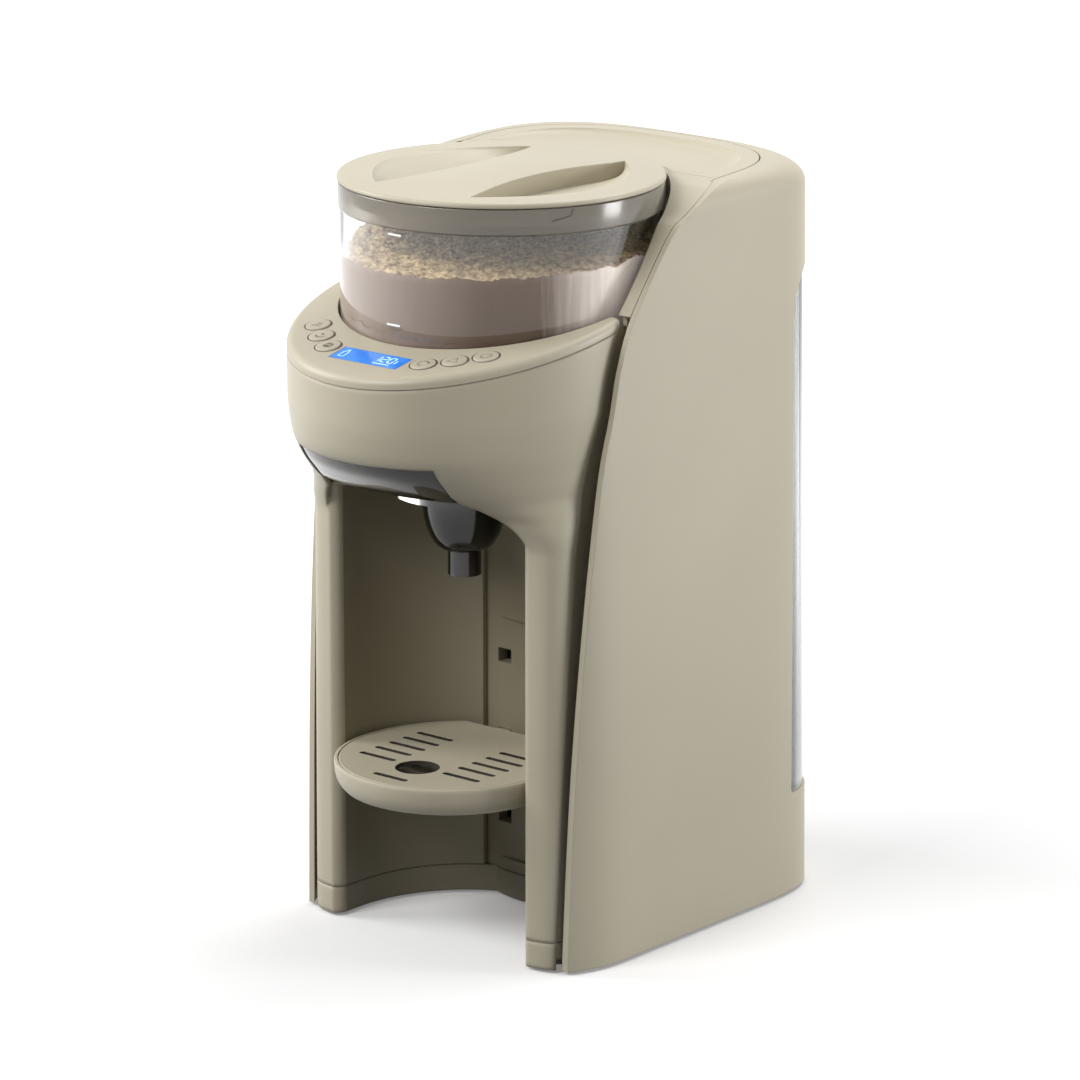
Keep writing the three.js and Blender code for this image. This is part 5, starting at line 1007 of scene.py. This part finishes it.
def finer_pieces():
    """Finer skins with the same form as CAD nodes, and the tank's clear face."""
    core, under = top_skin()
    right, left = side_panels()
    made = {
        "front_shell": front_shell(), "base_trim": base_trim(), "side_panel_right": right,
        "side_panel_left": left, "hopper_collar": hopper_collar(core, under), "tower_lid": tower_lid(core)}
    for whole in (control_deck, hopper_container, hopper_lid, funnel, funnel_cover, drip_tray, drip_grille):
        made[whole.__name__] = whole()
    for index, (x, y) in enumerate(BUTTON_PLACES):
        made[f"button_{index + 1}"] = key(x, y)
    # The bay's inner faces take the darker bay look: painted shade
    inner_looks = {
        "front_shell": (BAY_PAINTED_SHADE_LOOK, in_bay), "base_trim": (BAY_PAINTED_SHADE_LOOK, in_bay),
        "drip_grille": (SLOT_PAINTED_SHADE_LOOK, in_slot),
        "hopper_container": (band_material(), lambda spot: spot.z > HOPPER_BAND - SEAT_GAP)}
    for node, skin in made.items():
        look = SHELL_LOOK if node in ("front_shell", "base_trim") else LOOKS[SLOTS[node]]
        item = piece_of_form(node + "_skin", skin, look, node)
        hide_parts(node)
        if node in inner_looks:
            second_look(item, *inner_looks[node])
    piece_of_form("water_tank_face", tank_face(), TANK_LOOK, "water_tank")
    # bay_back and bay_ceiling take the darker bay look too: painted shade
    for node, look in (("bay_back", BAY_PAINTED_SHADE_LOOK), ("bay_ceiling", BAY_PAINTED_SHADE_LOOK), ("water_tank", TANK_LOOK)):
        nodes[node].data.materials[0] = look


finer_pieces()

# Powder heap inside the hopper, in millimetres
POWDER_PRESS = 0.05
POWDER_FLOOR = 279.4
SKIRT_RADIUS, SKIRT_FLOOR = 61, 273.8
POWDER_LEVEL, POWDER_RISE, POWDER_CROWN = 309, 8, 3
POWDER_RINGS, POWDER_SIDES, POWDER_ROWS = 90, 400, 14
HUB_CLEARANCE = 11.6
# Height and pitch of its lumps: large crumbs, small crumbs and slow rolls
COARSE, FINE, ROLLS = (2.0, 0.45), (1.3, 1.05), (1.6, 0.09)


def powder_level(x, y):
    """Gently heaped surface, higher at the back, with crumbs, relative to the axis."""
    spot = Vector((x, y, 0))
    crumbs = sum(height * abs(lumps.noise(spot * pitch)) for height, pitch in (COARSE, FINE))
    rolls = ROLLS[0] * lumps.noise(spot * ROLLS[1])
    slope = POWDER_RISE * (1 + y / HOPPER_RADIUS) / 2
    crown = POWDER_CROWN * (1 - (x * x + y * y) / HOPPER_RADIUS ** 2)
    return POWDER_LEVEL + slope + crown + crumbs + rolls


def powder():
    """Crumbly top and a smooth side where it is pressed against the wall."""
    outer = HOPPER_RADIUS - HOPPER_WALL + POWDER_PRESS
    points = []

    def ring(radius, height):
        for side in range(POWDER_SIDES):
            turn = 2 * pi * side / POWDER_SIDES
            x, y = radius * sin(turn), radius * cos(turn)
            points.append((x * MM, (AXIS_Y + y) * MM, height(x, y) * MM))

    for index in range(POWDER_RINGS + 1):
        ring(outer + (HUB_CLEARANCE - outer) * index / POWDER_RINGS, powder_level)
    for radius, level in [
            (HUB_CLEARANCE, POWDER_FLOOR), (SKIRT_RADIUS, POWDER_FLOOR), (SKIRT_RADIUS, SKIRT_FLOOR)]:
        ring(radius, lambda x, y: level)
    inner_points = len(points)
    for index in range(POWDER_ROWS):
        share = index / POWDER_ROWS
        ring(outer, lambda x, y: SKIRT_FLOOR + (powder_level(x, y) - SKIRT_FLOOR) * share)
    faces = [face for low in range(0, len(points), POWDER_SIDES)
             for face in hoop(low, (low + POWDER_SIDES) % len(points), POWDER_SIDES)]
    item = new_piece("powder", points, faces, powder_material(), "hopper")
    item.data.materials.append(pressed_powder_material())
    for face in item.data.polygons:
        if face.index >= inner_points:
            face.material_index = 1


powder()

# Thin marks in millimetres: icons, digits, print, and dark rings of painted shade along the gaps around the
# keys
MARK_LIFT, MARK_THICKNESS = 0.06, 0.08
LINE = 0.6
RING_GAP, RING_WIDTH, RING_STEPS = 0.45, 0.5, 48
SCREEN_TOP, SCREEN_MARK_GLOW = -0.02, 0.8
DIGIT_PLACES = [("1", 2.4), ("2", 6.3), ("0", 10.2)]
DIGIT_LOW, DIGIT_WIDTH, DIGIT_HEIGHT, DIGIT_TRIM, BAR_WIDTH = -1.6, 2.6, 5.0, 0.25, 0.55
SEGMENTS = {"0": "abcdef", "1": "bc", "2": "abged"}
SCREEN_LINES = [[(4.2, -3.6), (13.4, -3.6)], [(14.6, -1.4), (14.6, 1.6)]]
BOTTLE = [(-16.2, -3.2), (-13.4, -3.2), (-13.4, 1.0), (-14.2, 2.2), (-14.2, 3.4), (-15.4, 3.4),
          (-15.4, 2.2), (-16.2, 1.0)]
# Marks on the hopper's wall: angle from the front in degrees, and height
WALL_MARKS = {
    "max_line": ([(-3.1, 327.5), (2.8, 327.5)], 0.45, HOPPER_RADIUS),
    "min_line": ([(-4.0, 287.5), (2.1, 287.5)], 0.45, HOPPER_RADIUS),
    "lock_mark": ([(57.5, 336.2), (64.5, 338.2), (65.2, 341.0)], 0.35, HOPPER_BAND_RADIUS),
}


def strip(path, width, closed=False):
    """Flat ribbon of even width along a path in two axes; gives points and quads."""
    count = len(path)
    points = []
    for index, (u, v) in enumerate(path):
        before = path[index - 1] if index or closed else path[0]
        after = path[(index + 1) % count] if index + 1 < count or closed else path[-1]
        along = Vector((after[0] - before[0], after[1] - before[1])).normalized()
        points += [(u - along.y * width / 2, v + along.x * width / 2),
                   (u + along.y * width / 2, v - along.x * width / 2)]
    ends = [(2 * index, 2 * ((index + 1) % count)) for index in range(count if closed else count - 1)]
    return points, [(low, low + 1, high + 1, high) for low, high in ends]


def arc(radius, start, end, u=0.0, v=0.0, steps=24):
    turns = [radians(start + (end - start) * i / steps) for i in range(steps + 1)]
    return [(u + radius * cos(turn), v + radius * sin(turn)) for turn in turns]


def mark(name, shapes, place, look, body):
    """Thin solid mark from flat shapes; place turns two axes and a height into a point."""
    points, faces = [], []
    for flat, quads in shapes:
        first, count = len(points), len(flat)
        points += [place(u, v, level) for level in (MARK_LIFT, MARK_LIFT - MARK_THICKNESS) for u, v in flat]
        edges = {}
        for quad in quads:
            faces += [tuple(first + k for k in quad), tuple(first + count + k for k in reversed(quad))]
            edges.update(dict.fromkeys(zip(quad, (*quad[1:], quad[0]))))
        faces += [(first + b, first + a, first + count + a, first + count + b)
                  for a, b in edges if (b, a) not in edges]
    item = new_piece(name, [scaled(p, MM) for p in points], faces, look, body, smooth=False)
    work = bmesh.new()
    work.from_mesh(item.data)
    bmesh.ops.recalc_face_normals(work, faces=work.faces)
    work.to_mesh(item.data)
    work.free()


def deck_place(x, y, height):
    """Point on the sloping deck, from a place given in plan at its height."""
    return lambda u, v, lift: DECK_TURN @ Vector((x + u, y / DECK_COS + v, height + lift))


def fan(rim, centre):
    count = len(rim)
    return [centre, *rim], [(0, i, i % count + 1) for i in range(1, count + 1)]


def disc(radius, u, v, steps=20):
    return fan(arc(radius, 0, 360 * (steps - 1) / steps, u, v, steps - 1), (u, v))


def drop_shape(size, steps=24, tip=1.35, pinch=0.55):
    """Water drop: a round pulled to a tip above."""
    rim = []
    for i in range(steps):
        turn = 2 * pi * i / steps
        rise = sin(turn)
        narrow = 1 - pinch * max(0, rise) ** 3
        rim.append((size * cos(turn) * narrow, size * (rise * (tip if rise > 0 else 1))))
    return fan(rim, (0, 0))


KEY_ICONS = [
    [strip([(-2.6 + 0.7 * k, -1.7 + 1.5 * k), (2.6 - 0.7 * k, -1.7 + 1.5 * k)], LINE) for k in range(3)],
    [strip(arc(2.4, 200, 340), LINE), disc(0.7, 0, 1.0)],
    [drop_shape(2.3)],
    [strip(arc(2.4, 30, 300), LINE), strip([(1.0, 2.3), (2.7, 1.6), (2.4, 0.0)], LINE)],
    [strip([(-2.6, -1.9), (2.6, -1.9), (0, 2.4)], LINE, closed=True)],
    [strip(arc(2.4, 120, 420), LINE), strip([(0, 0.7), (0, 3.1)], LINE)],
]


def key_marks():
    gap_shade_look = mark_material("key_gap_shade_look", RING_SHADE_AND_MARK)
    ink = mark_material("key_ink_look", INK)
    ring = arc(BUTTON_RADIUS + RING_GAP, 0, 360 * (RING_STEPS - 1) / RING_STEPS, steps=RING_STEPS - 1)
    for index, ((x, y), shapes) in enumerate(zip(BUTTON_PLACES, KEY_ICONS)):
        place = deck_place(x, y, BUTTON_PROUD - MARK_LIFT)
        mark(f"key_{index + 1}_icon", shapes, place, ink, BODY_OF[f"button_{index + 1}"])
        # Dark ring along the gap around the key: painted shade
        mark(f"key_{index + 1}_ring", [strip(ring, RING_WIDTH, closed=True)], deck_place(x, y, 0),
             gap_shade_look, BODY_OF["control_deck"])


def digit(figure, u, v, width, height):
    """Seven-bar figure."""
    half = height / 2
    bars = {"a": ((0, height), (width, height)), "b": ((width, half), (width, height)),
            "c": ((width, 0), (width, half)), "d": ((0, 0), (width, 0)), "e": ((0, 0), (0, half)),
            "f": ((0, half), (0, height)), "g": ((0, half), (width, half))}
    made = []
    for name in SEGMENTS[figure]:
        (u0, v0), (u1, v1) = bars[name]
        du, dv = (DIGIT_TRIM if u1 != u0 else 0), (DIGIT_TRIM if v1 != v0 else 0)
        made.append(strip([(u + u0 + du, v + v0 + dv), (u + u1 - du, v + v1 - dv)], BAR_WIDTH))
    return made


def display_marks():
    shapes = []
    for figure, u in DIGIT_PLACES:
        shapes += digit(figure, u, DIGIT_LOW, DIGIT_WIDTH, DIGIT_HEIGHT)
    shapes += [*[strip(line, 0.5) for line in SCREEN_LINES], strip(BOTTLE, 0.45, closed=True)]
    mark("display_marks", shapes, deck_place(0, DISPLAY_Y, SCREEN_TOP),
         mark_material("screen_ink_look", SCREEN_INK, SCREEN_MARK_GLOW, 0.2), BODY_OF["display_window"])


def around(radius):
    """Place on an upright cylinder about the hopper: degrees from the front, and height."""
    def place(u, v, lift):
        turn = radians(u)
        reach = radius + lift
        return Vector((reach * sin(turn), AXIS_Y - reach * cos(turn), v))
    return place


def wall_ribbon(knots, half, radius, steps=8):
    """Ribbon through knots of degrees and height on the hopper's wall."""
    flat, quads = [], []
    degree = radians(1) * radius
    for (u0, v0), (u1, v1) in zip(knots, knots[1:]):
        first = len(flat)
        du, dv = (half / degree, 0) if abs(u1 - u0) * degree < abs(v1 - v0) else (0, half)
        for i in range(steps + 1):
            u, v = u0 + (u1 - u0) * i / steps, v0 + (v1 - v0) * i / steps
            flat += [(u - du, v + dv), (u + du, v - dv)]
        quads += [(low, low + 1, low + 3, low + 2) for low in range(first, first + 2 * steps, 2)]
    return flat, quads


def wall_marks():
    # The printed lines glow faintly, though they are no lamp: painted light
    print_with_painted_glow_look = mark_material("print_with_painted_glow_look", PRINT, 0.15)
    lock_look = mark_material("lock_mark_look", RING_SHADE_AND_MARK)
    for name, (knots, half, radius) in WALL_MARKS.items():
        look = lock_look if name == "lock_mark" else print_with_painted_glow_look
        mark(name, [wall_ribbon(knots, half, radius)], around(radius), look, "hopper")


key_marks()
display_marks()
wall_marks()

# Light levels: the world, how the floor is seen and how it bounces, its lift to white near and far
WORLD_LEVEL = 0.22
FLOOR_SIZE = 12
FLOOR_SEEN, FLOOR_BOUNCE = 0.78, 0.14
FLOOR_LIFT, FLOOR_NEAR, FLOOR_FAR = 0.20, 0.25, 1.1
# Lamps: name, place, target, size in metres and power in watts
LAMPS = [
    ("top_box", (0.1, 0.75, 1.5), (0, 0, 0.25), (1.3, 0.9), 14.5),
    ("right_box", (1.6, 1.0, 0.4), (0, 0, 0.2), (0.5, 0.8), 20),
    ("left_box", (-1.35, -0.65, 0.9), (0, 0, 0.2), (0.7, 0.9), 16),
    ("front_box", (-0.3, -1.35, 1.3), (0, 0, 0.25), (0.8, 0.6), 18),
]


def softbox(name, place, target, size, power):
    lamp = bpy.data.lights.new(name, "AREA")
    lamp.shape = "RECTANGLE"
    lamp.size, lamp.size_y = size
    lamp.energy = power
    item = add_object(name, lamp)
    item.location = place
    item.rotation_mode = "QUATERNION"
    item.rotation_quaternion = (Vector(target) - Vector(place)).to_track_quat("-Z", "Y")


def seen_directly(tree):
    """1 for rays from the camera, from gloss and through clear plastic, else 0."""
    camera_ray, gloss, clear = (add_node(tree, "LightPath").outputs[f"Is {kind} Ray"]
                                for kind in ("Camera", "Glossy", "Transmission"))
    first = calculate(tree, "ADD", camera_ray, gloss, use_clamp=True)
    return calculate(tree, "ADD", first, clear, use_clamp=True)


def stage():
    """Pale floor that keeps the shadow and fades to white, the world and the lamps."""
    mesh = bpy.data.meshes.new("floor")
    half = FLOOR_SIZE / 2
    corners = [(-half, -half, 0), (half, -half, 0), (half, half, 0), (-half, half, 0)]
    mesh.from_pydata(corners, [], [(0, 1, 2, 3)])
    floor = add_object("floor", mesh)
    made, tree, shader = new_material("floor_look")
    seen = seen_directly(tree)
    reach = calculate(tree, "LENGTH", object_place(tree), kind="VectorMath")
    far = remap(tree, reach, FLOOR_LIFT, 1, FLOOR_NEAR, FLOOR_FAR, interpolation_type="SMOOTHSTEP")
    feed(shader, {
        "Base Color": remap(tree, seen, FLOOR_BOUNCE, FLOOR_SEEN),
        "Roughness": 0.9, "Specular IOR Level": 0.0,
        "Emission Strength": calculate(tree, "MULTIPLY", seen, far), "Emission Color": (1, 1, 1, 1)})
    mesh.materials.append(made)

    world = bpy.data.worlds.new("studio")
    bpy.context.scene.world = world
    world.use_nodes = True
    tree = world.node_tree
    feed(tree.nodes["Background"], {
        "Color": (1, 1, 1, 1), "Strength": remap(tree, seen_directly(tree), WORLD_LEVEL, 1.0)})
    for lamp in LAMPS:
        softbox(*lamp)


def camera():
    azimuth, elevation = radians(VIEW_AZIMUTH), radians(VIEW_ELEVATION)
    back = Vector((sin(azimuth) * cos(elevation), -cos(azimuth) * cos(elevation), sin(elevation)))
    right = Vector((cos(azimuth), sin(azimuth), 0))
    up = back.cross(right)
    eye = LOOK_AT + LOOK_RIGHT * right + LOOK_UP * up + CAMERA_DISTANCE * back
    lens = bpy.data.cameras.new("camera")
    lens.sensor_width = SENSOR_WIDTH
    lens.lens = SENSOR_WIDTH * FOCAL_PIXELS / PHOTO_PIXELS
    lens.clip_start, lens.clip_end = CLIP_NEAR, CLIP_FAR
    item = add_object("camera", lens)
    item.matrix_world = Matrix.Translation(eye) @ Matrix((right, up, back)).transposed().to_4x4()
    bpy.context.scene.camera = item


stage()
camera()
bpy.context.scene.view_settings.view_transform = "Standard"
